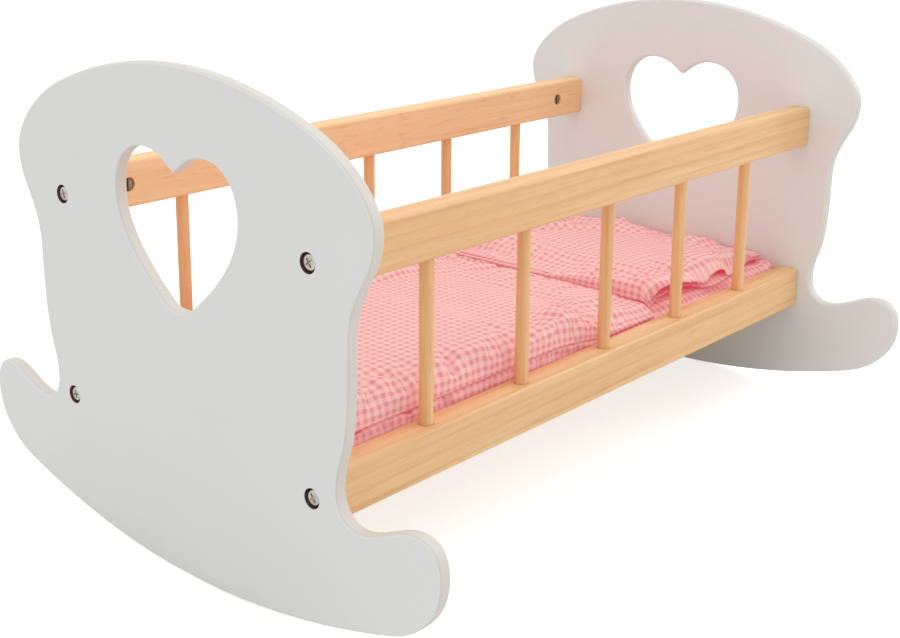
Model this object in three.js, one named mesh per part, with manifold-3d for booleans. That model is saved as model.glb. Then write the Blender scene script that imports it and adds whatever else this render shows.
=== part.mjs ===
// A rocking doll cradle: two cut-out end panels on curved rockers, four rails with
// round spindles between them, a base board, and a mattress, duvet and pillow.
// Millimetres, +Z up. The floor is z = 0 and the cradle's length runs along X, with
// the foot panel at -X. Y = 0 is the middle of its width.
import * as THREE from "three";
import { mergeVertices } from "three/addons/utils/BufferGeometryUtils.js";
import Module from "manifold-3d";

const wasm = await Module();
wasm.setup();

// Driving dimensions: frame
const railLength = 480;
const railHeight = 28;
const railThickness = 16;
const railEdge = 1.8;
const railsApart = 189;
const bottomRailLevel = 66;
const topRailLevel = 188;
const fitGap = 0.3;

// Driving dimensions: end panels
const panelThickness = 8;
const panelEdge = 1.6;
const panelHeight = 287;
const topRadius = 269;
const shoulderRun = 42.6;
const shoulderFromTop = 64.5;
const shoulderFlare = 17.8;
const neckLevel = 164.5;
const neckFlare = 9.3;
const waistMargin = 9;
const waistRise = 15;
const rockerTopFromRail = 6;
const filletRun = 14.5;
const rockerRadius = 505;
const rockerEndRun = 33.5;
const rockerHalfWidth = 188.5;
const rockerTipLevel = 64;
const tipInset = 16.5;
const tipDepth = 19.5;

// Driving dimensions: heart cut-out
const heartFromTop = 46.5;
const heartHeight = 87;
const heartHalfWidth = 50.5;
const heartLobeHeight = 27.5;
const heartLobeHalfWidth = 25;
const heartNotchDepth = 11;

// Driving dimensions: spindles
const spindleDiameter = 8;
const spindleCount = 5;
const spindleEndSpace = 76;
const socketDepth = 9;
const spindleEndChamfer = 0.8;

// Driving dimensions: bolts and barrel nuts
const boltDiameter = 5;
const boltClearance = 0.6;
const boltHeadDiameter = 9.6;
const boltHeadHeight = 2.4;
const boltHeadRim = 0.9;
const boltTail = 3;
const crossLength = 5;
const crossWidth = 1.1;
const crossDepth = 1.3;
const counterboreDiameter = 11.2;
const counterboreDepth = 3.4;
const nutDiameter = 8;
const nutLength = 11.5;
const nutRecess = 1.4;
const nutFromRailEnd = 32;
const nutSlotWidth = 1.2;
const nutSlotDepth = 1.2;

// Driving dimensions: base board
const boardThickness = 3;
const boardFromRail = 6;
const grooveDepth = 4;

// Driving dimensions: bedding
const beddingClearance = 1.2;
const mattressThickness = 24;
const mattressSeam = 13;
const mattressDrawIn = 0.8;
const mattressCrown = 16;
const duvetToPillow = 5;
const duvetThickness = 19;
const duvetSeam = 4;
const duvetDrawIn = 2.5;
const duvetSetIn = 1;
const duvetCrown = 7;
const pillowLength = 162;
const pillowSideGap = 7.3;
const pillowThickness = 18;
const pillowSeam = 4;
const pillowDrawIn = 3;
const pillowCrown = 6;
const pillowOffset = 1;
const puckerDepthShare = 0.16;
const undersideFullness = 1.6;

// How far the handles of each outline curve reach, as shares of that curve's extent
const rockerEndShares = [0.54, 0.48];
const tipShares = [0.66, 0.68];
const tipTopShares = [0.32, 0.37];
const filletShares = [0.56, 0.55];
const waistShares = [0.32, 0.86];
const neckShares = [0.52, 0.4];
const shoulderShares = [0.37, 0.5];
const heartSideShares = [0.44, 0.15, 0.6];
const heartLobeShares = [0.6, 0.4];
const heartNotchShares = [0.55, 0.18, 0.6];

// Worked out from the sizes above
const railCentreY = (railsApart + railThickness) / 2;
const waistHalfWidth = railsApart / 2 + railThickness + waistMargin;
const neckHalfWidth = waistHalfWidth + neckFlare;
const shoulderHalfWidth = neckHalfWidth + shoulderFlare;
const shoulderLevel = panelHeight - shoulderFromTop;
const topArcHalfWidth = shoulderHalfWidth - shoulderRun;
const rockerTopHalfWidth = waistHalfWidth + filletRun;
const rockerTopLevel = bottomRailLevel + rockerTopFromRail;
const waistLevel = rockerTopLevel + waistRise;
const rockerArcHalfWidth = rockerHalfWidth - rockerEndRun;
const tipTopHalfWidth = rockerHalfWidth - tipInset;
const tipTopLevel = rockerTipLevel + tipDepth;
const heartLobeLevel = panelHeight - heartFromTop;
const heartNotchLevel = heartLobeLevel - heartNotchDepth;
const heartWidestLevel = heartLobeLevel - heartLobeHeight;
const heartTipLevel = heartLobeLevel - heartHeight;
const spindlePitch = (railLength - 2 * spindleEndSpace) / (spindleCount - 1);
const boardLevel = bottomRailLevel + boardFromRail;
const innerX = railLength / 2;
const outerX = innerX + panelThickness;
const bottomRailTop = bottomRailLevel + railHeight;
const boltLevels = [bottomRailLevel + railHeight / 2, topRailLevel + railHeight / 2];
const sideSigns = [-1, 1];
const overrun = panelThickness;
const roundSteps = 16;
const smallRoundSteps = 12;
const curveSteps = 6;

// Finishes
const finish = (color, roughness, metalness) =>
  new THREE.MeshStandardMaterial({ color, roughness, metalness });
const whitePaint = finish(0xeceae6, 0.45, 0);
const pineFront = finish(0xe6bd88, 0.5, 0);
const pineRear = finish(0xe3b07c, 0.5, 0);
const dowelWood = finish(0xdfb078, 0.5, 0);
const plywood = finish(0xd9bc8e, 0.65, 0);
const nickel = finish(0xb9b7b2, 0.28, 1);
const nutSteel = finish(0x9a8f80, 0.38, 1);
const gingham = finish(0xf6aab4, 0.9, 0);

// The cradle as one group
const cradle = new THREE.Group();

// Adds a named mesh to the cradle
function add(name, geometry, material) {
  const mesh = new THREE.Mesh(geometry, material);
  mesh.name = name;
  cradle.add(mesh);
  return mesh;
}

// A closed geometry as a solid for cutting
function solidOf(geometry) {
  const bare = geometry.clone();
  bare.deleteAttribute("normal");
  bare.deleteAttribute("uv");
  const merged = mergeVertices(bare);
  return new wasm.Manifold(
    new wasm.Mesh({
      numProp: 3,
      vertProperties: Float32Array.from(merged.attributes.position.array),
      triVerts: Uint32Array.from(merged.index.array),
    }),
  );
}

// A cut solid back as a geometry
function geometryOf(solid) {
  const mesh = solid.getMesh();
  const geometry = new THREE.BufferGeometry();
  geometry.setAttribute("position", new THREE.BufferAttribute(mesh.vertProperties, 3));
  geometry.setIndex(new THREE.BufferAttribute(mesh.triVerts, 1));
  geometry.computeVertexNormals();
  return geometry;
}

// A geometry with a list of others cut out of it
function cutFrom(geometry, cutters) {
  let solid = solidOf(geometry);
  for (const cutter of cutters) {
    solid = solid.subtract(solidOf(cutter));
  }
  return geometryOf(solid);
}

// A rod along X, Y or Z with its middle at a place
function rod(diameter, length, axis, x, y, z) {
  const steps = diameter > boltHeadDiameter ? roundSteps : smallRoundSteps;
  const geometry = new THREE.CylinderGeometry(diameter / 2, diameter / 2, length, steps);
  if (axis === "x") {
    geometry.rotateZ(Math.PI / 2);
  }
  if (axis === "z") {
    geometry.rotateX(Math.PI / 2);
  }
  return geometry.translate(x, y, z);
}

// A box given by its sizes and its middle
function block(sizeX, sizeY, sizeZ, x, y, z) {
  return new THREE.BoxGeometry(sizeX, sizeY, sizeZ).translate(x, y, z);
}

// Turns a shape drawn in (y, z) and extruded along its normal into the X direction
const drawnAcross = new THREE.Matrix4().makeBasis(
  new THREE.Vector3(0, 1, 0),
  new THREE.Vector3(0, 0, 1),
  new THREE.Vector3(1, 0, 0),
);

// The half of an outline at +Y, mirrored and closed into a whole one
function mirrored(half) {
  const other = half
    .slice(1, -1)
    .reverse()
    .map((point) => new THREE.Vector2(-point.x, point.y));
  return [...half, ...other];
}

// One half of the panel's outline, from the middle of the rocker to the crown
function panelHalfOutline() {
  const rockerArcAngle = Math.asin(rockerArcHalfWidth / rockerRadius);
  const rockerArcLevel = rockerRadius * (1 - Math.cos(rockerArcAngle));
  const topArcAngle = Math.asin(topArcHalfWidth / topRadius);
  const topCentreLevel = panelHeight - topRadius;
  const topArcLevel = topCentreLevel + topRadius * Math.cos(topArcAngle);
  const reach = rockerHalfWidth - rockerArcHalfWidth;
  const tipRise = rockerTipLevel - rockerArcLevel;
  const slope = Math.tan(rockerArcAngle);
  const shoulderReach = shoulderHalfWidth - topArcHalfWidth;
  const topSlope = Math.tan(topArcAngle);
  const shoulderDrop = topArcLevel - shoulderLevel;
  const neckDrop = shoulderLevel - neckLevel;
  const waistDrop = neckLevel - waistLevel;
  const filletReach = rockerTopHalfWidth - waistHalfWidth;
  const filletDrop = waistLevel - rockerTopLevel;
  const tipReach = tipTopHalfWidth - rockerTopHalfWidth;
  const endReach = rockerHalfWidth - tipTopHalfWidth;
  const endDrop = tipTopLevel - rockerTipLevel;

  const arcHandle = reach * rockerEndShares[0];
  const topHandle = shoulderReach * shoulderShares[1];

  const path = new THREE.Path();
  path.moveTo(0, 0);
  path.absarc(0, rockerRadius, rockerRadius, -Math.PI / 2, rockerArcAngle - Math.PI / 2, false);
  path.bezierCurveTo(
    rockerArcHalfWidth + arcHandle, rockerArcLevel + arcHandle * slope,
    rockerHalfWidth, rockerTipLevel - tipRise * rockerEndShares[1],
    rockerHalfWidth, rockerTipLevel,
  );
  path.bezierCurveTo(
    rockerHalfWidth, rockerTipLevel + endDrop * tipShares[0],
    tipTopHalfWidth + endReach * tipShares[1], tipTopLevel,
    tipTopHalfWidth, tipTopLevel,
  );
  path.bezierCurveTo(
    tipTopHalfWidth - tipReach * tipTopShares[0], tipTopLevel,
    rockerTopHalfWidth + tipReach * tipTopShares[1], rockerTopLevel,
    rockerTopHalfWidth, rockerTopLevel,
  );
  path.bezierCurveTo(
    rockerTopHalfWidth - filletReach * filletShares[0], rockerTopLevel,
    waistHalfWidth, waistLevel - filletDrop * filletShares[1],
    waistHalfWidth, waistLevel,
  );
  path.bezierCurveTo(
    waistHalfWidth, waistLevel + waistDrop * waistShares[0],
    neckHalfWidth, neckLevel - waistDrop * waistShares[1],
    neckHalfWidth, neckLevel,
  );
  path.bezierCurveTo(
    neckHalfWidth, neckLevel + neckDrop * neckShares[0],
    shoulderHalfWidth, shoulderLevel - neckDrop * neckShares[1],
    shoulderHalfWidth, shoulderLevel,
  );
  path.bezierCurveTo(
    shoulderHalfWidth, shoulderLevel + shoulderDrop * shoulderShares[0],
    topArcHalfWidth + topHandle, topArcLevel - topHandle * topSlope,
    topArcHalfWidth, topArcLevel,
  );
  path.absarc(0, topCentreLevel, topRadius, Math.PI / 2 - topArcAngle, Math.PI / 2, false);
  return path.getPoints(curveSteps);
}

// One half of the heart's outline, from its tip to its notch
function heartHalfOutline() {
  const tipRise = heartWidestLevel - heartTipLevel;
  const lobeRise = heartLobeLevel - heartWidestLevel;
  const lobeReach = heartHalfWidth - heartLobeHalfWidth;
  const notchRise = heartLobeLevel - heartNotchLevel;
  const path = new THREE.Path();
  path.moveTo(0, heartTipLevel);
  path.bezierCurveTo(
    heartHalfWidth * heartSideShares[0], heartTipLevel + tipRise * heartSideShares[1],
    heartHalfWidth, heartTipLevel + tipRise * heartSideShares[2],
    heartHalfWidth, heartWidestLevel,
  );
  path.bezierCurveTo(
    heartHalfWidth, heartWidestLevel + lobeRise * heartLobeShares[0],
    heartHalfWidth - lobeReach * heartLobeShares[1], heartLobeLevel,
    heartLobeHalfWidth, heartLobeLevel,
  );
  path.bezierCurveTo(
    heartLobeHalfWidth * heartNotchShares[0], heartLobeLevel,
    heartLobeHalfWidth * heartNotchShares[1], heartNotchLevel + notchRise * heartNotchShares[2],
    0, heartNotchLevel,
  );
  return path.getPoints(curveSteps);
}

// The cut-out panel, with its inner face at x = 0 and its outer face at -X
function panelGeometry() {
  const outline = new THREE.Shape(mirrored(panelHalfOutline()));
  outline.holes.push(new THREE.Path(mirrored(heartHalfOutline())));
  const board = new THREE.ExtrudeGeometry(outline, {
    depth: panelThickness - 2 * panelEdge,
    bevelThickness: panelEdge,
    bevelSize: panelEdge,
    bevelOffset: -panelEdge,
    bevelSegments: 1,
  });
  board.translate(0, 0, panelEdge - panelThickness);
  board.applyMatrix4(drawnAcross);
  const cutters = [];
  for (const side of sideSigns) {
    for (const level of boltLevels) {
      const y = side * railCentreY;
      cutters.push(rod(boltDiameter + boltClearance, panelThickness + 2 * overrun, "x", 0, y, level));
      const boreLength = counterboreDepth + overrun;
      const boreX = counterboreDepth - panelThickness - boreLength / 2;
      cutters.push(rod(counterboreDiameter, boreLength, "x", boreX, y, level));
    }
  }
  return cutFrom(board, cutters);
}

// The two end panels: the same board, the head one turned round
function addPanels() {
  const foot = panelGeometry().translate(-innerX, 0, 0);
  const head = panelGeometry().rotateZ(Math.PI).translate(innerX, 0, 0);
  add("foot_panel", foot, whitePaint);
  add("head_panel", head, whitePaint);
}

// Places of the spindles along the rails
function spindlePlaces() {
  const places = [];
  for (let index = 0; index < spindleCount; index += 1) {
    places.push((index - (spindleCount - 1) / 2) * spindlePitch);
  }
  return places;
}

// A bar along X with eased long edges
function easedBar(length, width, height, radius) {
  const halfWidth = width / 2;
  const halfHeight = height / 2;
  const section = new THREE.Shape();
  section.moveTo(halfWidth, radius - halfHeight);
  section.absarc(halfWidth - radius, halfHeight - radius, radius, 0, Math.PI / 2, false);
  section.absarc(radius - halfWidth, halfHeight - radius, radius, Math.PI / 2, Math.PI, false);
  section.absarc(radius - halfWidth, radius - halfHeight, radius, Math.PI, Math.PI * 1.5, false);
  section.absarc(halfWidth - radius, radius - halfHeight, radius, Math.PI * 1.5, Math.PI * 2, false);
  const bar = new THREE.ExtrudeGeometry(section, { depth: length, bevelEnabled: false, curveSegments: 3 });
  return bar.translate(0, 0, -length / 2).applyMatrix4(drawnAcross);
}

// One rail. side is -1 at the front and 1 at the rear, and up tells whether the
// spindles stand on it or hang from it
function railGeometry(side, level, up) {
  const y = side * railCentreY;
  const middle = level + railHeight / 2;
  const bar = easedBar(railLength - 2 * fitGap, railThickness, railHeight, railEdge);
  bar.translate(0, y, middle);
  const cutters = [];
  const socketLength = socketDepth + overrun;
  const socketMouth = up ? level + railHeight : level;
  const socketZ = up
    ? socketMouth - socketDepth + socketLength / 2
    : socketMouth + socketDepth - socketLength / 2;
  for (const x of spindlePlaces()) {
    cutters.push(rod(spindleDiameter + 2 * fitGap, socketLength, "z", x, y, socketZ));
  }
  const innerFace = side * (railsApart / 2);
  const nutHoleDepth = nutRecess + nutLength + fitGap;
  const nutHoleLength = nutHoleDepth + overrun;
  const nutHoleY = innerFace + side * (nutHoleDepth - nutHoleLength / 2);
  const boreLength = nutFromRailEnd + nutDiameter / 2 + boltTail + 2 * fitGap + overrun;
  for (const end of sideSigns) {
    const nutX = end * (innerX - nutFromRailEnd);
    cutters.push(rod(nutDiameter + 2 * fitGap, nutHoleLength, "y", nutX, nutHoleY, middle));
    const boreX = end * (innerX + overrun - boreLength / 2);
    cutters.push(rod(boltDiameter + boltClearance, boreLength, "x", boreX, y, middle));
  }
  if (up) {
    const grooveHeight = boardThickness + 2 * fitGap;
    const grooveWidth = grooveDepth + overrun;
    const grooveY = innerFace + side * (grooveDepth - grooveWidth / 2);
    const grooveZ = boardLevel + boardThickness / 2;
    cutters.push(block(railLength + 2 * overrun, grooveWidth, grooveHeight, 0, grooveY, grooveZ));
  }
  return cutFrom(bar, cutters);
}

// The four rails
function addRails() {
  add("front_bottom_rail", railGeometry(-1, bottomRailLevel, true), pineFront);
  add("front_top_rail", railGeometry(-1, topRailLevel, false), pineFront);
  add("rear_bottom_rail", railGeometry(1, bottomRailLevel, true), pineRear);
  add("rear_top_rail", railGeometry(1, topRailLevel, false), pineRear);
}

// A dowel with chamfered ends, standing in the sockets of both rails
function spindleGeometry() {
  const low = bottomRailTop - socketDepth + fitGap;
  const high = topRailLevel + socketDepth - fitGap;
  const radius = spindleDiameter / 2;
  const profile = [
    new THREE.Vector2(0, low),
    new THREE.Vector2(radius - spindleEndChamfer, low),
    new THREE.Vector2(radius, low + spindleEndChamfer),
    new THREE.Vector2(radius, high - spindleEndChamfer),
    new THREE.Vector2(radius - spindleEndChamfer, high),
    new THREE.Vector2(0, high),
  ];
  return new THREE.LatheGeometry(profile, roundSteps).rotateX(Math.PI / 2);
}

// Five spindles on each side
function addSpindles() {
  for (const [row, side] of [["front", -1], ["rear", 1]]) {
    spindlePlaces().forEach((x, index) => {
      const spindle = spindleGeometry().translate(x, side * railCentreY, 0);
      add(`${row}_spindle_${index + 1}`, spindle, dowelWood);
    });
  }
}

// A pan-head bolt with a cross recess. Its seat is at x = 0 and its shank runs to +X
function boltGeometry() {
  const radius = boltDiameter / 2;
  const headRadius = boltHeadDiameter / 2;
  const seatToNut = panelThickness - counterboreDepth + nutFromRailEnd;
  const shankLength = seatToNut + nutDiameter / 2 + boltTail;
  const profile = [new THREE.Vector2(0, -fitGap - boltHeadHeight)];
  const domeSteps = 3;
  for (let step = 1; step <= domeSteps; step += 1) {
    const angle = (step / domeSteps) * (Math.PI / 2);
    const drop = (boltHeadHeight - boltHeadRim) * (1 - Math.cos(angle));
    profile.push(new THREE.Vector2(headRadius * Math.sin(angle), drop - fitGap - boltHeadHeight));
  }
  profile.push(new THREE.Vector2(headRadius, -fitGap));
  profile.push(new THREE.Vector2(radius, -fitGap));
  profile.push(new THREE.Vector2(radius, shankLength - spindleEndChamfer));
  profile.push(new THREE.Vector2(radius - spindleEndChamfer, shankLength));
  profile.push(new THREE.Vector2(0, shankLength));
  const bolt = new THREE.LatheGeometry(profile, smallRoundSteps).rotateZ(-Math.PI / 2);
  const recessDepth = crossDepth + overrun;
  const recessX = crossDepth - fitGap - boltHeadHeight - recessDepth / 2;
  return cutFrom(bolt, [
    block(recessDepth, crossLength, crossWidth, recessX, 0, 0),
    block(recessDepth, crossWidth, crossLength, recessX, 0, 0),
  ]);
}

// A barrel nut along Y, cross-bored for the bolt, with a slot in its end at -Y
function nutGeometry() {
  const nutMiddle = nutRecess + nutLength / 2 - railThickness / 2;
  const slotDepth = nutSlotDepth + overrun;
  const slotY = nutMiddle - nutLength / 2 + nutSlotDepth - slotDepth / 2;
  return cutFrom(rod(nutDiameter, nutLength, "y", 0, nutMiddle, 0), [
    rod(boltDiameter + boltClearance, nutDiameter + 2 * overrun, "x", 0, 0, 0),
    block(nutSlotWidth, slotDepth, nutDiameter + 2 * overrun, 0, slotY, 0),
  ]);
}

// A bolt and a barrel nut for each end of each rail
function addFasteners() {
  const seatX = outerX - counterboreDepth;
  for (const [end, endSign] of [["foot", -1], ["head", 1]]) {
    for (const [row, side] of [["front", -1], ["rear", 1]]) {
      for (const [place, level] of [["bottom", boltLevels[0]], ["top", boltLevels[1]]]) {
        const y = side * railCentreY;
        const bolt = boltGeometry().rotateZ(endSign < 0 ? 0 : Math.PI);
        bolt.translate(endSign * seatX, y, level);
        add(`${end}_${row}_${place}_bolt`, bolt, nickel);
        const nut = nutGeometry().rotateZ(side < 0 ? Math.PI : 0);
        nut.translate(endSign * (innerX - nutFromRailEnd), y, level);
        add(`${end}_${row}_${place}_nut`, nut, nutSteel);
      }
    }
  }
}

// The thin board in the grooves of the bottom rails
function addBoard() {
  const width = railsApart + 2 * (grooveDepth - fitGap);
  const board = block(railLength - 2 * fitGap, width, boardThickness, 0, 0, boardLevel + boardThickness / 2);
  add("base_board", board, plywood);
}

// A sewn and filled form: flat underneath, crowned above, drawn in between its
// corners, with its seam round the edge and small puckers along it
function paddedGeometry(form) {
  const { length, width, thickness, seam, drawIn, crown, puckers, stepsX, stepsY } = form;
  const halfLength = length / 2;
  const halfWidth = width / 2;
  const positions = [];
  const indices = [];
  const isEdge = (i, j) => i === 0 || j === 0 || i === stepsX || j === stepsY;
  const layer = (upper) => {
    const names = [];
    for (let j = 0; j <= stepsY; j += 1) {
      for (let i = 0; i <= stepsX; i += 1) {
        const u = Math.sin((i / stepsX - 0.5) * Math.PI);
        const v = Math.sin((j / stepsY - 0.5) * Math.PI);
        if (!upper && isEdge(i, j)) {
          names.push(j * (stepsX + 1) + i);
          continue;
        }
        const fullness = Math.sqrt((1 - Math.abs(u) ** crown) * (1 - Math.abs(v) ** crown));
        const nearEdge = 4 * fullness * (1 - fullness);
        const wave = Math.cos(puckers * Math.PI * (u + v)) * nearEdge;
        const rise = (thickness - seam) * fullness * (1 - puckerDepthShare * wave);
        const drop = seam * Math.min(1, undersideFullness * fullness);
        positions.push(
          u * (halfLength - drawIn * (1 - v * v)),
          v * (halfWidth - drawIn * (1 - u * u)),
          upper ? seam + rise : seam - drop,
        );
        names.push(positions.length / 3 - 1);
      }
    }
    return names;
  };
  for (const upper of [true, false]) {
    const names = layer(upper);
    for (let j = 0; j < stepsY; j += 1) {
      for (let i = 0; i < stepsX; i += 1) {
        const a = names[j * (stepsX + 1) + i];
        const b = names[j * (stepsX + 1) + i + 1];
        const c = names[(j + 1) * (stepsX + 1) + i + 1];
        const d = names[(j + 1) * (stepsX + 1) + i];
        indices.push(...(upper ? [a, b, c, a, c, d] : [a, c, b, a, d, c]));
      }
    }
  }
  const geometry = new THREE.BufferGeometry();
  geometry.setAttribute("position", new THREE.Float32BufferAttribute(positions, 3));
  geometry.setIndex(indices);
  geometry.computeVertexNormals();
  return geometry;
}

// The mattress on the board, and the duvet and the pillow on the mattress
function addBedding() {
  const bedWidth = railsApart - 2 * beddingClearance;
  const bedLength = railLength - 2 * beddingClearance;
  const mattressLevel = boardLevel + boardThickness + fitGap;
  const mattressTop = mattressLevel + mattressThickness;
  const mattress = paddedGeometry({
    length: bedLength, width: bedWidth, thickness: mattressThickness, seam: mattressSeam,
    drawIn: mattressDrawIn, crown: mattressCrown, puckers: 0, stepsX: 18, stepsY: 12,
  });
  mattress.translate(0, 0, mattressLevel);
  add("mattress", mattress, gingham);

  const duvetLength = bedLength - duvetSetIn - duvetToPillow - pillowLength - pillowOffset;
  const duvet = paddedGeometry({
    length: duvetLength, width: bedWidth, thickness: duvetThickness, seam: duvetSeam,
    drawIn: duvetDrawIn, crown: duvetCrown, puckers: 9, stepsX: 30, stepsY: 16,
  });
  const duvetX = duvetLength / 2 - bedLength / 2 + duvetSetIn;
  duvet.translate(duvetX, 0, mattressTop + fitGap);
  add("duvet", duvet, gingham);

  const pillowWidth = bedWidth - 2 * pillowSideGap;
  const pillow = paddedGeometry({
    length: pillowLength, width: pillowWidth, thickness: pillowThickness, seam: pillowSeam,
    drawIn: pillowDrawIn, crown: pillowCrown, puckers: 5, stepsX: 18, stepsY: 20,
  });
  const pillowX = bedLength / 2 - pillowLength / 2 - pillowOffset;
  pillow.translate(pillowX, pillowOffset, mattressTop + fitGap);
  add("pillow", pillow, gingham);
}

addPanels();
addRails();
addSpindles();
addFasteners();
addBoard();
addBedding();

export default cradle;
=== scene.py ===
"""A rocking doll cradle, dressed for its photograph.

Two painted end panels with heart cut-outs stand on curved rockers. Pine rails with
dowel spindles join them, held by sunk bolts and barrel nuts, and gingham bedding lies
on a thin board. Lengths are in metres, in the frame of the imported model.
"""

import logging
import math
from bisect import bisect_right
from collections.abc import Callable, Sequence
from dataclasses import dataclass, replace
from enum import Enum
from functools import cached_property
from itertools import product

import bpy
from mathutils import Matrix, Vector
from mathutils.noise import noise

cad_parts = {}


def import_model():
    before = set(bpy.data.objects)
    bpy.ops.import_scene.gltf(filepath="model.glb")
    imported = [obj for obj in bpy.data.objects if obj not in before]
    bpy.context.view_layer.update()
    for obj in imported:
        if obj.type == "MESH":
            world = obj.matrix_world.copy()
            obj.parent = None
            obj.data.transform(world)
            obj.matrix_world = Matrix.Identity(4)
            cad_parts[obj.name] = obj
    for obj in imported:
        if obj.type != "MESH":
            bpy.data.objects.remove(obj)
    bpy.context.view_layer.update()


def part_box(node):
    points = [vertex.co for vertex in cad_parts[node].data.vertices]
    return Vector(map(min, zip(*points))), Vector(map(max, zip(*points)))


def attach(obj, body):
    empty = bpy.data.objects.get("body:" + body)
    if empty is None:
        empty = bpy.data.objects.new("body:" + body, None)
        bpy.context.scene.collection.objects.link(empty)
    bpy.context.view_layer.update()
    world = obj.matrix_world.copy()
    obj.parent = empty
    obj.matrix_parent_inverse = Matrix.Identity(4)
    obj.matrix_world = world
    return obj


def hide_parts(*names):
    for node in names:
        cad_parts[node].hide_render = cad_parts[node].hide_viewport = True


LOG = logging.getLogger("cradle")

Colour = tuple[float, float, float, float]
Place = tuple[float, float, float]
Pair = tuple[float, float]

# Places that are closer than this count as one
NEAR = 0.0001
# Corners of a mesh that are closer than this are merged
MERGE = 0.00001
# A face whose normal goes further than this along an axis faces that way
FACING = 0.5
SPINDLES_PER_SIDE = 5
# Stands a flat drawing up, with its right along Y and its top along Z
UPRIGHT = Matrix(((0, 0, 1, 0), (1, 0, 0, 0), (0, 1, 0, 0), (0, 0, 0, 1)))


class Labelled(Enum):
    """A choice whose name, in small letters, is part of the names of pieces."""

    @property
    def label(self) -> str:
        """The name as pieces have it."""
        return self.name.lower()


class Side(Labelled):
    """The two long sides of the cradle, with their sign along Y."""

    FRONT = -1
    REAR = 1


class End(Labelled):
    """The two ends of the cradle, with their sign along X."""

    FOOT = -1
    HEAD = 1


class Storey(Labelled):
    """The lower and the upper rail of a side."""

    BOTTOM = 0
    TOP = 1


class Grain(Enum):
    """The direction that a piece's grain runs in, as the share of each axis across it."""

    ALONG_X = (0.0, 1.0, 1.0)
    ALONG_Z = (1.0, 1.0, 0.0)


def paint(red: int, green: int, blue: int) -> Colour:
    """Turns a colour as a screen shows it into the linear one that shaders use.

    Args:
        red: Red from 0 to 255.
        green: Green from 0 to 255.
        blue: Blue from 0 to 255.

    Returns:
        The linear colour with full alpha.
    """
    shown = (value / 255 for value in (red, green, blue))
    linear = (v / 12.92 if v <= 0.04045 else ((v + 0.055) / 1.055) ** 2.4 for v in shown)
    return (*linear, 1.0)


class Signal:
    """A shader socket on which sums can be written."""

    def __init__(self, recipe: "Recipe", socket: bpy.types.NodeSocket) -> None:
        """Wraps one output socket of a recipe."""
        self.recipe = recipe
        self.socket = socket

    def _worked(self, operation: str, first: "Signal | float", second: "Signal | float") -> "Signal":
        """Works out one operation on two values in a Math node."""
        return self.recipe.node("ShaderNodeMath", {"operation": operation}, {0: first, 1: second})

    def __add__(self, other: "Signal | float") -> "Signal":
        """This value plus another."""
        return self._worked("ADD", self, other)

    __radd__ = __add__

    def __sub__(self, other: "Signal | float") -> "Signal":
        """This value less another."""
        return self._worked("SUBTRACT", self, other)

    def __rsub__(self, other: float) -> "Signal":
        """A number less this value."""
        return self._worked("SUBTRACT", other, self)

    def __mul__(self, other: "Signal | float") -> "Signal":
        """This value times another."""
        return self._worked("MULTIPLY", self, other)

    __rmul__ = __mul__

    def __truediv__(self, other: "Signal | float") -> "Signal":
        """This value over another."""
        return self._worked("DIVIDE", self, other)

    def wave(self) -> "Signal":
        """The sine of this value, which counts whole turns."""
        return self._worked("SINE", self * math.tau, 0.0)

    def fraction(self) -> "Signal":
        """What is left of this value past its whole part."""
        return self._worked("FRACT", self, 0.0)

    def held(self) -> "Signal":
        """This value kept between 0 and 1."""
        return self.recipe.node("ShaderNodeClamp", {}, {"Value": self})


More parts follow.
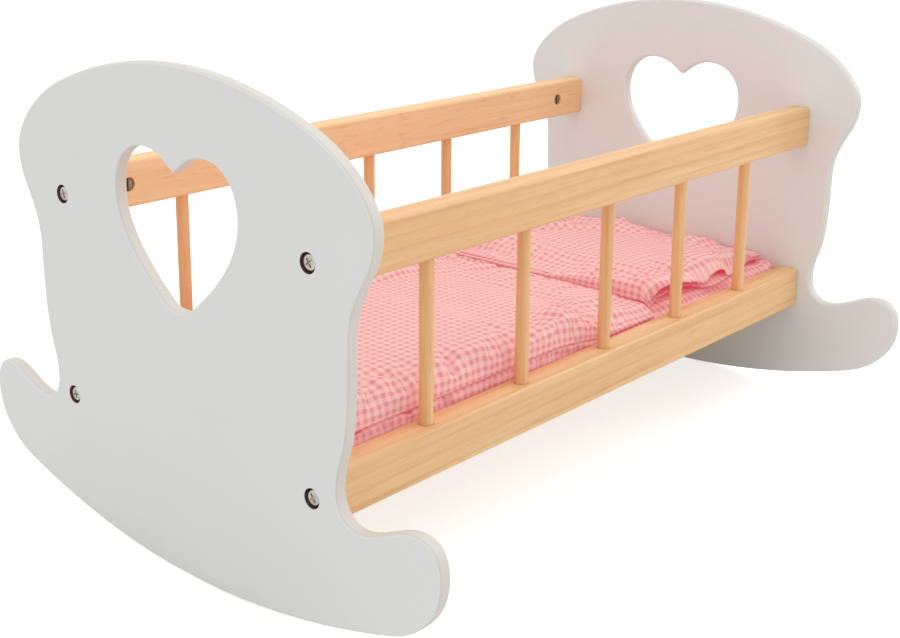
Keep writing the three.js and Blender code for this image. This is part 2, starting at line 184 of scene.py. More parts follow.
class Recipe:
    """The node tree of a material or of the world, which ends in one shader."""

    def __init__(self, owner: bpy.types.Material | bpy.types.World) -> None:
        """Starts an empty tree.

        Args:
            owner: The material or the world that it belongs to.
        """
        self.owner = owner
        owner.use_nodes = True
        self.tree = owner.node_tree
        self.tree.nodes.clear()

    @classmethod
    def for_finish(cls, name: str) -> "Recipe":
        """A recipe for a new material of that name."""
        return cls(bpy.data.materials.new(name))

    def node(self, kind: str, settings: dict, inputs: dict, output: int | str | None = 0) -> Signal | None:
        """Adds a node, sets it up and joins its inputs.

        Args:
            kind: The node's type.
            settings: Its own settings, with a ramp's stops under the key stops.
            inputs: A value or a signal for each input, by name or number.
            output: The output that is wanted, or None for a node that ends the tree.

        Returns:
            The signal of that output, or None.
        """
        made = self.tree.nodes.new(kind)
        for key, value in settings.items():
            if key == "stops":
                self._set_stops(made.color_ramp, value)
            else:
                setattr(made, key, value)
        for key, value in inputs.items():
            if isinstance(value, Signal):
                self.tree.links.new(value.socket, made.inputs[key])
            else:
                made.inputs[key].default_value = value
        return None if output is None else Signal(self, made.outputs[output])

    @staticmethod
    def _set_stops(ramp: bpy.types.ColorRamp, stops: Sequence[Pair]) -> None:
        """Gives a ramp its stops.

        Args:
            ramp: The ramp, as a new node has it.
            stops: The place and the grey level of each stop.
        """
        while len(ramp.elements) < len(stops):
            ramp.elements.new(1.0)
        for element, (place, level) in zip(ramp.elements, stops):
            element.position = place
            element.color = (level, level, level, 1.0)

    def mixed(self, first: "Signal | Colour", second: "Signal | Colour", share: "Signal | float") -> Signal:
        """Mixes two colours, with a share of the second from 0 to 1."""
        inputs = {0: share, 6: first, 7: second}
        return self.node("ShaderNodeMix", {"data_type": "RGBA", "blend_type": "MIX"}, inputs, output=2)

    def places(self, scale: Place = (1, 1, 1)) -> Signal:
        """The place on the object, scaled along each axis."""
        place = self.node("ShaderNodeTexCoord", {}, {}, output="Object")
        return self.node("ShaderNodeMapping", {}, {"Vector": place, "Scale": scale})

    def turned(self, place: Signal, turn: Place) -> Signal:
        """A place turned about the origin by an angle round each axis."""
        return self.node("ShaderNodeMapping", {}, {"Vector": place, "Rotation": turn})

    def speckle(self, place: Signal, scale: float, detail: float = 2.0, roughness: float = 0.5) -> Signal:
        """Noise between 0 and 1 at a place."""
        inputs = {"Vector": place, "Scale": scale, "Detail": detail, "Roughness": roughness}
        return self.node("ShaderNodeTexNoise", {}, inputs)

    def vector(self, operation: str, first: "Signal | Place", second: "Signal | Place",
               output: str = "Vector") -> Signal:
        """One Vector Math operation on two vectors."""
        return self.node("ShaderNodeVectorMath", {"operation": operation}, {0: first, 1: second}, output)

    def parts(self, vector: Signal) -> tuple[Signal, Signal, Signal]:
        """The three parts of a vector."""
        split = self.node("ShaderNodeSeparateXYZ", {}, {"Vector": vector}).socket.node
        return tuple(Signal(self, socket) for socket in split.outputs)

    def relief(self, height: Signal, distance: float) -> Signal:
        """The normal of a surface that a height lifts by up to a distance."""
        return self.node("ShaderNodeBump", {}, {"Height": height, "Distance": distance, "Strength": 1.0})

    def surface(self, **sockets: "Signal | Colour | float") -> bpy.types.Material:
        """Ends the tree in a Principled shader.

        Args:
            sockets: A value or a signal for each socket, by name with _ for a space.

        Returns:
            The finished material.
        """
        inputs = {name.replace("_", " "): value for name, value in sockets.items()}
        shader = self.node("ShaderNodeBsdfPrincipled", {}, inputs)
        return self.closed(shader)

    def closed(self, shader: Signal) -> bpy.types.Material | bpy.types.World:
        """Ends the tree in a shader.

        Args:
            shader: The signal of the shader.

        Returns:
            The material or the world that the tree belongs to.
        """
        kind = "World" if isinstance(self.owner, bpy.types.World) else "Material"
        self.node(f"ShaderNodeOutput{kind}", {}, {"Surface": shader}, output=None)
        return self.owner


@dataclass(frozen=True)
class WhitePaint:
    """Satin paint sprayed on a board, with a faint orange peel."""

    colour: Colour = paint(236, 236, 234)
    shade: Colour = paint(229, 229, 226)
    cloud_scale: float = 9.0
    roughness: float = 0.42
    rubbed: float = 0.12
    rub_scale: float = 60.0
    peel_scale: float = 420.0
    peel_depth: float = 0.00006

    def made(self, name: str) -> bpy.types.Material:
        """Builds the paint's material.

        Args:
            name: The material's name.

        Returns:
            The material.
        """
        recipe = Recipe.for_finish(name)
        place = recipe.places()
        cloud = recipe.speckle(place, self.cloud_scale, detail=3.0)
        peel = recipe.speckle(place, self.peel_scale, detail=1.0)
        rub = recipe.speckle(place, self.rub_scale, detail=3.0)
        return recipe.surface(
            Base_Color=recipe.mixed(self.colour, self.shade, cloud),
            Roughness=self.roughness + self.rubbed * rub,
            Normal=recipe.relief(peel, self.peel_depth),
        )


@dataclass(frozen=True)
class BoreShadowPaint:
    """Dark brown for the walls of the bolt seats: unpainted board where a drill has gone through the paint,
    made dark to paint the shadow in the seats.
    """

    colour: Colour = paint(112, 78, 58)
    fibre: Colour = paint(74, 50, 38)
    fluff_scale: float = 1400.0
    fluff_depth: float = 0.00006
    roughness: float = 0.85
    fluff_roughness: float = 0.1

    def made(self, name: str) -> bpy.types.Material:
        """Builds the bare board's material.

        Args:
            name: The material's name.

        Returns:
            The material.
        """
        recipe = Recipe.for_finish(name)
        fluff = recipe.speckle(recipe.places(), self.fluff_scale, detail=3.0)
        return recipe.surface(
            Base_Color=recipe.mixed(self.colour, self.fibre, fluff),
            Roughness=self.roughness + self.fluff_roughness * fluff,
            Normal=recipe.relief(fluff, self.fluff_depth),
        )


@dataclass(frozen=True)
class Streaks:
    """Noise that is drawn out along the grain, and the way that it tints the wood.

    Close and drawn are its scales across and along the grain. It tints the wood where it
    is high: contrast and cut say how high, and show is the strength of the full tint.
    """

    close: float
    drawn: float
    contrast: float
    cut: float
    show: float

    def tint(self, streaks: Signal) -> Signal:
        """The strength of the tint at each place."""
        return (streaks * self.contrast - self.cut).held() * self.show


@dataclass(frozen=True)
class Timber:
    """Planed softwood under clear satin lacquer, with soft growth rings round its heart."""

    early: Colour
    late: Colour
    blush: Colour
    grain: Grain = Grain.ALONG_X
    heart: Place = (0.0, 0.03, 0.05)
    slant: float = 0.018
    ring: float = 0.006
    ring_profile: tuple[Pair, ...] = ((0.0, 0.0), (0.55, 0.35), (0.85, 1.0), (1.0, 0.0))
    rings_contrast: float = 1.9
    rings_cut: float = 0.35
    rings_show: float = 0.5
    wander: float = 0.012
    wander_scales: Pair = (14.0, 2.2)
    patches: Streaks = Streaks(close=40.0, drawn=5.0, contrast=3.0, cut=1.1, show=0.8)
    bands: Streaks = Streaks(close=150.0, drawn=6.0, contrast=1.6, cut=0.5, show=0.45)
    fibres: Streaks = Streaks(close=900.0, drawn=22.0, contrast=1.5, cut=0.6, show=0.35)
    flecks: Streaks = Streaks(close=620.0, drawn=55.0, contrast=4.0, cut=2.2, show=0.4)
    roughness: float = 0.46
    fibre_roughness: float = 0.16
    ring_gloss: float = 0.05
    ring_relief: float = 0.5
    relief: float = 0.00006
    lacquer: float = 0.12
    lacquer_roughness: float = 0.3

    def made(self, name: str) -> bpy.types.Material:
        """Builds the timber's material.

        Args:
            name: The material's name.

        Returns:
            The material.
        """
        recipe = Recipe.for_finish(name)
        place = recipe.turned(recipe.places(), (0.0, self.slant, self.slant))
        wander = self.along_grain(recipe, place, *self.wander_scales, detail=2.0)
        offset = recipe.vector("MULTIPLY", recipe.vector("SUBTRACT", place, self.heart), self.grain.value)
        depth = recipe.vector("LENGTH", offset, (0, 0, 0), output="Value")
        turn = ((depth + self.wander * wander) / self.ring).fraction()
        ring = recipe.node("ShaderNodeValToRGB", {"stops": self.ring_profile}, {"Fac": turn})
        ring = recipe.node("ShaderNodeRGBToBW", {}, {"Color": ring})
        patch, band, fibre, fleck = (
            self.along_grain(recipe, place, streaks.close, streaks.drawn, detail=2.5, roughness=0.55)
            for streaks in (self.patches, self.bands, self.fibres, self.flecks)
        )
        line = (ring * (band * self.rings_contrast - self.rings_cut).held() * self.rings_show).held()
        wood = recipe.mixed(self.early, self.late, line)
        wood = recipe.mixed(wood, self.late, self.bands.tint(band))
        wood = recipe.mixed(wood, self.blush, self.patches.tint(patch))
        wood = recipe.mixed(wood, self.late, self.flecks.tint(fleck))
        wood = recipe.mixed(wood, self.late, self.fibres.tint(fibre))
        return recipe.surface(
            Base_Color=wood,
            Roughness=self.roughness + self.fibre_roughness * fibre - self.ring_gloss * line,
            Normal=recipe.relief(fibre - self.ring_relief * line, self.relief),
            Coat_Weight=self.lacquer,
            Coat_Roughness=self.lacquer_roughness,
        )

    def along_grain(self, recipe: Recipe, place: Signal, close: float, drawn: float, detail: float,
                    roughness: float = 0.5) -> Signal:
        """Noise that is drawn out along the grain.

        Args:
            recipe: The recipe that it is part of.
            place: Where on the wood it is read.
            close: Its scale across the grain.
            drawn: Its scale along the grain.
            detail: How fine it gets.
            roughness: How strong its fine part is.

        Returns:
            The noise, from 0 to 1.
        """
        scales = tuple(close if share else drawn for share in self.grain.value)
        stretched = recipe.vector("MULTIPLY", place, scales)
        return recipe.speckle(recipe.vector("ADD", stretched, self.heart), 1.0, detail, roughness)


@dataclass(frozen=True)
class Veneer:
    """Thin bare plywood, with long pale grain on its faces and plies at its edges."""

    colour: Colour = paint(226, 200, 160)
    line: Colour = paint(206, 172, 126)
    drift_scales: Place = (3.0, 14.0, 14.0)
    streak_scales: Place = (9.0, 420.0, 420.0)
    streak_show: float = 0.35
    figure: float = 0.009
    figure_drift: float = 0.02
    figure_show: float = 0.3
    ply: float = 0.002
    ply_show: float = 0.2
    roughness: float = 0.62
    streak_roughness: float = 0.15
    relief: float = 0.00008

    def made(self, name: str) -> bpy.types.Material:
        """Builds the plywood's material.

        Args:
            name: The material's name.

        Returns:
            The material.
        """
        recipe = Recipe.for_finish(name)
        drift = recipe.speckle(recipe.places(self.drift_scales), 1.0, detail=2.0)
        streak = recipe.speckle(recipe.places(self.streak_scales), 1.0, detail=3.0, roughness=0.6)
        _, across, up = recipe.parts(recipe.places())
        figure = ((across + self.figure_drift * drift) / self.figure).wave() * 0.5 + 0.5
        plies = (up / self.ply).wave() * 0.5 + 0.5
        share = (self.streak_show * streak + self.figure_show * figure + self.ply_show * plies).held()
        return recipe.surface(
            Base_Color=recipe.mixed(self.colour, self.line, share),
            Roughness=self.roughness + self.streak_roughness * streak,
            Normal=recipe.relief(streak, self.relief),
        )


@dataclass(frozen=True)
class Plating:
    """Plated steel, clouded by handling and darker in its fine marks."""

    colour: Colour
    dull: Colour
    roughness: float
    cloud_scale: float = 260.0
    cloud_contrast: float = 1.4
    cloud_cut: float = 0.3
    mark_scales: Place = (2600.0, 300.0, 300.0)
    mark_roughness: float = 0.14
    mark_depth: float = 0.00001

    def made(self, name: str) -> bpy.types.Material:
        """Builds the plating's material.

        Args:
            name: The material's name.

        Returns:
            The material.
        """
        recipe = Recipe.for_finish(name)
        cloud = recipe.speckle(recipe.places(), self.cloud_scale, detail=3.0)
        marks = recipe.speckle(recipe.places(self.mark_scales), 1.0, detail=2.0)
        clouded = (cloud * self.cloud_contrast - self.cloud_cut).held()
        return recipe.surface(
            Base_Color=recipe.mixed(self.colour, self.dull, clouded),
            Metallic=1.0,
            Roughness=self.roughness + self.mark_roughness * marks,
            Normal=recipe.relief(marks, self.mark_depth),
        )


@dataclass(frozen=True)
class Gingham:
    """Fine cotton check, woven of coloured and white threads, on the piece's own cloth map.

    A faint pink glow paints light into the cloth, and turns its shaded creases and hollows rosy.
    """

    white: Colour = paint(232, 208, 196)
    pink: Colour = paint(213, 153, 160)
    # Colour and strength of the painted pink glow, which is painted light
    painted_glow_colour: Colour = (1.0, 0.07, 0.17, 1.0)
    glow: float = 0.2
    repeat: float = 0.0054
    coloured: float = 0.45
    crispness: float = 2.4
    half_tone: float = 0.38
    threads: int = 10
    thread_show: float = 0.14
    turn: float = 0.03
    stray: float = 0.0009
    stray_scale: float = 22.0
    fluff_scale: float = 900.0
    fluff_tint: float = 0.08
    weave_depth: float = 0.00008
    crumple: float = 0.0007
    crumple_scale: float = 60.0
    roughness: float = 0.82
    fluff_roughness: float = 0.1
    sheen: float = 0.12
    sheen_roughness: float = 0.5
    gloss: float = 0.2

    def made(self, name: str) -> bpy.types.Material:
        """Builds the gingham's material.

        Args:
            name: The material's name.

        Returns:
            The material.
        """
        recipe = Recipe.for_finish(name)
        lines = self.thread_places(recipe)
        middle = 0.5 + self.crispness * math.pi / 2 * (self.coloured - 0.5)
        warp, weft = (((line / self.repeat).wave() * self.crispness + middle).held() for line in lines)
        over, under = ((line / self.repeat * self.threads).wave() for line in lines)
        weave = over * under
        single = warp * (0.5 + self.thread_show * weave) + weft * (0.5 - self.thread_show * weave)
        level = self.half_tone * 2 * single + (1 - 2 * self.half_tone) * (warp * weft)
        fluff = recipe.speckle(recipe.places(), self.fluff_scale, detail=2.0)
        crease = recipe.speckle(recipe.places(), self.crumple_scale, detail=4.0, roughness=0.55)
        woven = recipe.relief(weave * 0.5 + fluff * 0.5, self.weave_depth)
        creased = {"Height": crease, "Distance": self.crumple, "Normal": woven}
        return recipe.surface(
            Base_Color=recipe.mixed(self.white, self.pink, (level + self.fluff_tint * (fluff - 0.5)).held()),
            Roughness=self.roughness + self.fluff_roughness * fluff,
            Normal=recipe.node("ShaderNodeBump", {}, creased),
            Sheen_Weight=self.sheen,
            Sheen_Roughness=self.sheen_roughness,
            Specular_IOR_Level=self.gloss,
            # Painted light: a faint pink glow over all the cloth, which shows most in its shaded creases and
            # hollows
            Emission_Color=self.painted_glow_colour,
            Emission_Strength=self.glow,
        )

    def thread_places(self, recipe: Recipe) -> tuple[Signal, Signal]:
        """Where on the cloth a place is, across and along it, with threads that stray a little.

        Args:
            recipe: The recipe that it is part of.

        Returns:
            The two places, in metres of cloth.
        """
        cloth = recipe.node("ShaderNodeUVMap", {"uv_map": "cloth"}, {})
        inputs = {"Vector": cloth, "Scale": self.stray_scale, "Detail": 1.0}
        wavy = recipe.node("ShaderNodeTexNoise", {}, inputs, output="Color")
        wavy = recipe.vector("SUBTRACT", wavy, (0.5, 0.5, 0.5))
        wavy = recipe.vector("MULTIPLY", wavy, (2 * self.stray, 2 * self.stray, 0.0))
        place = recipe.turned(recipe.vector("ADD", cloth, wavy), (0, 0, self.turn))
        across, along, _ = recipe.parts(place)
        return across, along


def chosen(piece: bpy.types.Object) -> None:
    """Makes one piece the only selected and the active one.

    Args:
        piece: The piece.
    """
    bpy.ops.object.select_all(action="DESELECT")
    piece.select_set(True)
    bpy.context.view_layer.objects.active = piece


def settled(piece: bpy.types.Object, name: str) -> bpy.types.Object:
    """Names a piece and moves its place, turn and size into its mesh.

    Args:
        piece: The piece.
        name: Its name.

    Returns:
        The same piece.
    """
    chosen(piece)
    bpy.ops.object.transform_apply(location=True, rotation=True, scale=True)
    piece.name = name
    piece.data.name = name
    return piece


def block(name: str, low: Vector, high: Vector) -> bpy.types.Object:
    """Adds a box.

    Args:
        name: Its name.
        low: Its lowest corner.
        high: Its highest corner.

    Returns:
        The box.
    """
    bpy.ops.object.select_all(action="DESELECT")
    bpy.ops.mesh.primitive_cube_add(size=1.0, location=(low + high) / 2, scale=high - low)
    return settled(bpy.context.object, name)


def rod(name: str, radius: float, start: Vector, end: Vector, sides: int = 40) -> bpy.types.Object:
    """Adds a round bar.

    Args:
        name: Its name.
        radius: Its radius.
        start: The middle of one end.
        end: The middle of the other end.
        sides: The number of its flat sides.

    Returns:
        The bar.
    """
    along = end - start
    turn = Vector((0, 0, 1)).rotation_difference(along).to_euler()
    bpy.ops.object.select_all(action="DESELECT")
    bpy.ops.mesh.primitive_cylinder_add(
        vertices=sides, radius=radius, depth=along.length, location=(start + end) / 2, rotation=turn
    )
    return settled(bpy.context.object, name)


def unpicked(piece: bpy.types.Object) -> bpy.types.Mesh:
    """Chooses a piece with nothing of its mesh selected.

    Args:
        piece: The piece.

    Returns:
        Its mesh.
    """
    chosen(piece)
    for group in (piece.data.vertices, piece.data.edges, piece.data.polygons):
        group.foreach_set("select", [False] * len(group))
    return piece.data


def pick_edges(piece: bpy.types.Object, wanted: Callable[[Vector, Vector], bool]) -> None:
    """Selects some of a piece's edges, and enters edit mode on them.

    Args:
        piece: The piece.
        wanted: Whether an edge between two places is wanted.
    """
    mesh = unpicked(piece)
    for edge in mesh.edges:
        edge.select = wanted(*(mesh.vertices[index].co for index in edge.vertices))
    bpy.ops.object.mode_set(mode="EDIT")
    bpy.ops.mesh.select_mode(type="EDGE")


def pick_faces(piece: bpy.types.Object, wanted: Callable[[bpy.types.MeshPolygon], bool]) -> None:
    """Selects some of a piece's faces, and enters edit mode on them.

    Args:
        piece: The piece.
        wanted: Whether a face is wanted.
    """
    for face in unpicked(piece).polygons:
        face.select = wanted(face)
    bpy.ops.object.mode_set(mode="EDIT")
    bpy.ops.mesh.select_mode(type="FACE")


def rounded(piece: bpy.types.Object, wanted: Callable[[Vector, Vector], bool], radius: float,
            segments: int = 4) -> None:
    """Rounds some of a piece's edges.

    Args:
        piece: The piece.
        wanted: Whether an edge between two places is wanted.
        radius: How far from the edge the rounding starts.
        segments: The number of its strips.
    """
    pick_edges(piece, wanted)
    bpy.ops.mesh.bevel(offset=radius, offset_type="OFFSET", segments=segments, profile=0.5)
    bpy.ops.object.mode_set(mode="OBJECT")


def cut_out(piece: bpy.types.Object, cutters: Sequence[bpy.types.Object]) -> None:
    """Cuts pieces out of another, and clears them away.

    Args:
        piece: The piece that stays.
        cutters: What is cut out of it.
    """
    for cutter in cutters:
        chosen(piece)
        boolean = piece.modifiers.new("cut", "BOOLEAN")
        boolean.operation = "DIFFERENCE"
        boolean.solver = "EXACT"
        boolean.object = cutter
        bpy.ops.object.modifier_apply(modifier=boolean.name)
        bpy.data.objects.remove(cutter)


def smoothed(piece: bpy.types.Object, degrees: float = 32.0) -> None:
    """Shades a piece smooth, with its flat faces kept flat.

    Args:
        piece: The piece.
        degrees: The steepest edge that is shaded smooth.
    """
    chosen(piece)
    bpy.ops.object.shade_smooth_by_angle(angle=math.radians(degrees))
    weighted = piece.modifiers.new("weighted", "WEIGHTED_NORMAL")
    weighted.keep_sharp = True
    bpy.ops.object.modifier_apply(modifier=weighted.name)


def twin(piece: bpy.types.Object, name: str, move: Matrix) -> bpy.types.Object:
    """Copies a piece with its own mesh.

    Args:
        piece: The piece.
        name: The copy's name.
        move: Where the copy goes, from the piece's own place.

    Returns:
        The copy.
    """
    copy = piece.copy()
    copy.data = piece.data.copy()
    copy.data.transform(move)
    copy.name = name
    copy.data.name = name
    bpy.context.scene.collection.objects.link(copy)
    return copy


def dressed(piece: bpy.types.Object, finish: bpy.types.Material, body: str, node: str) -> None:
    """Gives a piece its finish, and has it ride on a body in place of a node.

    Args:
        piece: The piece.
        finish: Its material.
        body: The body that it moves with.
        node: The node that it stands for.
    """
    piece.data.materials.clear()
    piece.data.materials.append(finish)
    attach(piece, body)
    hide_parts(node)
    LOG.info("%s stands for %s on %s", piece.name, node, body)


def corner_name(end: End, side: Side, storey: Storey) -> str:
    """The name of a bolted corner of the frame, as its bolt and its nut have it."""
    return f"{end.label}_{side.label}_{storey.label}"


def half_turn(turned: bool) -> Matrix:
    """A half turn round the upright axis, or none."""
    return Matrix.Rotation(math.pi if turned else 0.0, 4, "Z")


def middle_of(node: str) -> Vector:
    """The middle of a node's box."""
    low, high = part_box(node)
    return (low + high) / 2


@dataclass(frozen=True)
class Knot:
    """A point of an outline, with the ends of its two handles."""

    place: Vector
    before: Vector
    after: Vector

    def mirrored(self) -> "Knot":
        """The same point on the other side of the middle line."""
        place, before, after = (Vector((-end.x, end.y)) for end in (self.place, self.before, self.after))
        return Knot(place, after, before)


@dataclass(frozen=True)
class Bend:
    """How far the handles of a curve go from its start and back from its end.

    Each is a pair of shares of the way between the two, across and up.
    """

    leave: Pair
    arrive: Pair


def between(start: Pair, end: Pair, shares: Pair) -> Pair:
    """The point that is a share of the way from one to another, across and up."""
    return start[0] + (end[0] - start[0]) * shares[0], start[1] + (end[1] - start[1]) * shares[1]


def arc_handle(radius: float, angle: float) -> float:
    """How long the two handles of a curve are that follows an arc of that radius and angle."""
    return radius * 4 / 3 * math.tan(angle / 4)


class HalfOutline:
    """Half of an outline that is alike on both sides, drawn from its middle line."""

    def __init__(self, start: Pair) -> None:
        """Starts on the middle line.

        Args:
            start: The place of the first point.
        """
        self.end = start
        self.knots = [Knot(Vector(start), Vector(start), Vector(start))]

    def curve(self, leave: Pair, arrive: Pair, end: Pair) -> None:
        """Goes on to another point by way of two handles.

        Args:
            leave: The end of the last point's handle.
            arrive: The end of the new point's handle.
            end: The new point.
        """
        self.knots[-1] = replace(self.knots[-1], after=Vector(leave))
        self.knots.append(Knot(Vector(end), Vector(arrive), Vector(end)))
        self.end = end

    def bent(self, bend: Bend, end: Pair) -> None:
        """Goes on to another point, with handles that go shares of the way."""
        self.curve(between(self.end, end, bend.leave), between(end, self.end, bend.arrive), end)

    def whole(self) -> list[Knot]:
        """Adds the other half.

        Returns:
            The points of the closed outline.
        """
        first, *middle, last = self.knots
        first = replace(first, before=first.mirrored().before)
        last = replace(last, after=last.mirrored().after)
        return [first, *middle, last, *(knot.mirrored() for knot in reversed(middle))]


@dataclass
class EndPanels:
    """The two painted end boards, each with a heart cut-out, a rocker and four bolt bores."""

    finish: WhitePaint
    # The edges' paint is darker and warmer: partly thinner paint, partly painted shade and warm reflected
    # light
    edge_finish: WhitePaint
    # Dark brown in the bores: unpainted board, made dark to paint the shadow in the seats
    bore_finish: BoreShadowPaint
    thickness: float = 0.008
    edge: float = 0.0018
    edge_steps: int = 3
    edge_slope: float = 0.6
    curve_steps: int = 20
    height: float = 0.287
    top_radius: float = 0.269
    top_arc_half_width: float = 0.104
    shoulder: Pair = (0.1466, 0.2225)
    shoulder_rise_share: float = 0.37
    shoulder_run_share: float = 0.5
    neck: Pair = (0.1288, 0.1645)
    neck_bend: Bend = Bend((0.0, 0.52), (0.0, 0.4))
    waist: Pair = (0.1195, 0.087)
    waist_bend: Bend = Bend((0.0, 0.32), (0.0, 0.86))
    rocker_top: Pair = (0.134, 0.072)
    fillet_bend: Bend = Bend((0.56, 0.0), (0.0, 0.55))
    tip_top: Pair = (0.172, 0.0835)
    horn_bend: Bend = Bend((0.32, 0.0), (0.37, 0.0))
    tip: Pair = (0.1885, 0.064)
    tip_bend: Bend = Bend((0.0, 0.66), (0.68, 0.0))
    rocker_radius: float = 0.505
    rocker_arc_half_width: float = 0.155
    rocker_end_run_share: float = 0.54
    rocker_end_rise_share: float = 0.48
    heart_tip: float = 0.1542
    heart_softness: float = 0.0033
    heart_tip_runs: Place = (0.95, 2.1, 3.4)
    heart_side_bend: Bend = Bend((0.52, 0.26), (0.0, 0.39))
    heart_widest: Pair = (0.0505, 0.213)
    heart_lobe_bend: Bend = Bend((0.0, 0.6), (0.6, 0.0))
    heart_lobe: Pair = (0.025, 0.2405)
    heart_notch_bend: Bend = Bend((0.52, 0.0), (0.2, 0.3))
    heart_notch: float = 0.2295
    bore_radius: float = 0.0055
    bore_depth: float = 0.0034
    bore_sides: int = 48
    bore_margin: float = 0.0002
    hole_radius: float = 0.0028

    def outline(self) -> list[Knot]:
        """Draws the board, from the middle of its rocker to its crown and back.

        Returns:
            The points of its outline.
        """
        angle = math.asin(self.rocker_arc_half_width / self.rocker_radius)
        reach = arc_handle(self.rocker_radius, angle)
        x, z = self.rocker_arc_half_width, self.rocker_radius * (1 - math.cos(angle))
        half = HalfOutline((0.0, 0.0))
        half.curve((reach, 0.0), (x - reach * math.cos(angle), z - reach * math.sin(angle)), (x, z))
        run = (self.tip[0] - x) * self.rocker_end_run_share
        arrive = between(self.tip, (x, z), (0.0, self.rocker_end_rise_share))
        half.curve((x + run, z + run * math.tan(angle)), arrive, self.tip)
        half.bent(self.tip_bend, self.tip_top)
        half.bent(self.horn_bend, self.rocker_top)
        half.bent(self.fillet_bend, self.waist)
        half.bent(self.waist_bend, self.neck)
        half.bent(self.neck_bend, self.shoulder)
        angle = math.asin(self.top_arc_half_width / self.top_radius)
        reach = arc_handle(self.top_radius, angle)
        x, z = self.top_arc_half_width, self.height - self.top_radius * (1 - math.cos(angle))
        run = (self.shoulder[0] - x) * self.shoulder_run_share
        leave = between(self.shoulder, (x, z), (0.0, self.shoulder_rise_share))
        half.curve(leave, (x + run, z - run * math.tan(angle)), (x, z))
        leave = (x - reach * math.cos(angle), z + reach * math.sin(angle))
        half.curve(leave, (reach, self.height), (0.0, self.height))
        return half.whole()

    def heart(self) -> list[Knot]:
        """Draws the heart, from its tip to its notch and back.

        Returns:
            The points of its outline.
        """
        tip, soft = self.heart_tip, self.heart_softness
        leave, arrive, end = (run * soft for run in self.heart_tip_runs)
        sharp = (0.0, tip)
        half = HalfOutline(sharp)
        half.curve((leave, tip), (arrive, tip), (end, tip + soft))
        half.curve(
            between(sharp, self.heart_widest, self.heart_side_bend.leave),
            between(self.heart_widest, sharp, self.heart_side_bend.arrive),
            self.heart_widest,
        )
        half.bent(self.heart_lobe_bend, self.heart_lobe)
        half.bent(self.heart_notch_bend, (0.0, self.heart_notch))
        return half.whole()

    def blank(self) -> bpy.types.Object:
        """Saws the board, centred on x = 0, and rounds its edges over.

        Returns:
            The board.
        """
        bpy.ops.object.select_all(action="DESELECT")
        bpy.ops.curve.primitive_bezier_curve_add()
        curve = bpy.context.object.data
        curve.dimensions = "2D"
        curve.fill_mode = "BOTH"
        curve.resolution_u = self.curve_steps
        curve.bevel_resolution = self.edge_steps
        curve.bevel_depth = self.edge
        curve.offset = -self.edge
        curve.extrude = self.thickness / 2 - self.edge
        curve.splines.clear()
        for knots in (self.outline(), self.heart()):
            spline = curve.splines.new("BEZIER")
            spline.use_cyclic_u = True
            spline.bezier_points.add(len(knots) - 1)
            for point, knot in zip(spline.bezier_points, knots):
                point.handle_left_type = point.handle_right_type = "FREE"
                point.co = (*knot.place, 0.0)
                point.handle_left = (*knot.before, 0.0)
                point.handle_right = (*knot.after, 0.0)
        bpy.ops.object.convert(target="MESH")
        board = bpy.context.object
        board.data.transform(UPRIGHT)
        chosen(board)
        bpy.ops.object.mode_set(mode="EDIT")
        bpy.ops.mesh.select_all(action="SELECT")
        bpy.ops.mesh.remove_doubles(threshold=MERGE)
        bpy.ops.mesh.normals_make_consistent(inside=False)
        bpy.ops.object.mode_set(mode="OBJECT")
        return board

    def bored(self, board: bpy.types.Object, centres: Sequence[Pair]) -> None:
        """Bores a clearance hole and a sunk seat for each bolt, from the face at -X.

        Args:
            board: The board.
            centres: The place of each bolt, as y and z.
        """
        face = -self.thickness / 2
        for y, z in centres:
            outside, inside = (Vector((x, y, z)) for x in (2 * face, -2 * face))
            floor = Vector((face + self.bore_depth, y, z))
            hole = rod("hole", self.hole_radius, outside, inside)
            seat = rod("seat", self.bore_radius, outside, floor, self.bore_sides)
            cut_out(board, [hole, seat])

    def bared(self, panel: bpy.types.Object, centres: Sequence[Pair], edge: bpy.types.Material,
              bore_shadow: bpy.types.Material) -> None:
        """Gives a panel's sawn edges their thinner paint and the walls of its bores bare board.

        Args:
            panel: The panel, with its main paint as its only material.
            centres: The place of each bolt, as y and z.
            edge: The darker paint of the edges, which paints in their shade.
            bore_shadow: The dark brown of the bores' walls, which paints the shadow in them.
        """
        panel.data.materials.append(edge)
        panel.data.materials.append(bore_shadow)
        # Faces in a bore get the dark brown that paints the shadow in the seat
        reach = self.bore_radius + self.bore_margin
        vertices = panel.data.vertices
        for face in panel.data.polygons:
            corners = [vertices[index].co for index in face.vertices]
            in_bore = any(
                all(math.hypot(corner.y - y, corner.z - z) < reach for corner in corners) for y, z in centres
            )
            # Faces turned away from X get the edges' darker paint, which paints in their shade
            face.material_index = 2 if in_bore else int(abs(face.normal.x) < self.edge_slope)

    def build(self) -> None:
        """Makes both boards, the head one turned round, and dresses them."""
        corners = (corner_name(End.FOOT, side, storey) for side, storey in product(Side, Storey))
        centres = [(bolt.y, bolt.z) for bolt in (middle_of(f"{corner}_bolt") for corner in corners)]
        board = self.blank()
        self.bored(board, centres)
        smoothed(board)
        finish = self.finish.made("white_paint")
        # The edges' darker paint, which paints in their shade
        edge = self.edge_finish.made("white_paint_edge")
        # The dark brown that paints the shadow in the bolt seats
        bore_shadow = self.bore_finish.made("bare_board")
        for end in End:
            node = f"{end.label}_panel"
            move = Matrix.Translation((middle_of(node).x, 0.0, 0.0)) @ half_turn(end is End.HEAD)
            panel = twin(board, f"{end.label}_end_board", move)
            dressed(panel, finish, "cradle", node)
            self.bared(panel, centres, edge, bore_shadow)
        bpy.data.objects.remove(board)


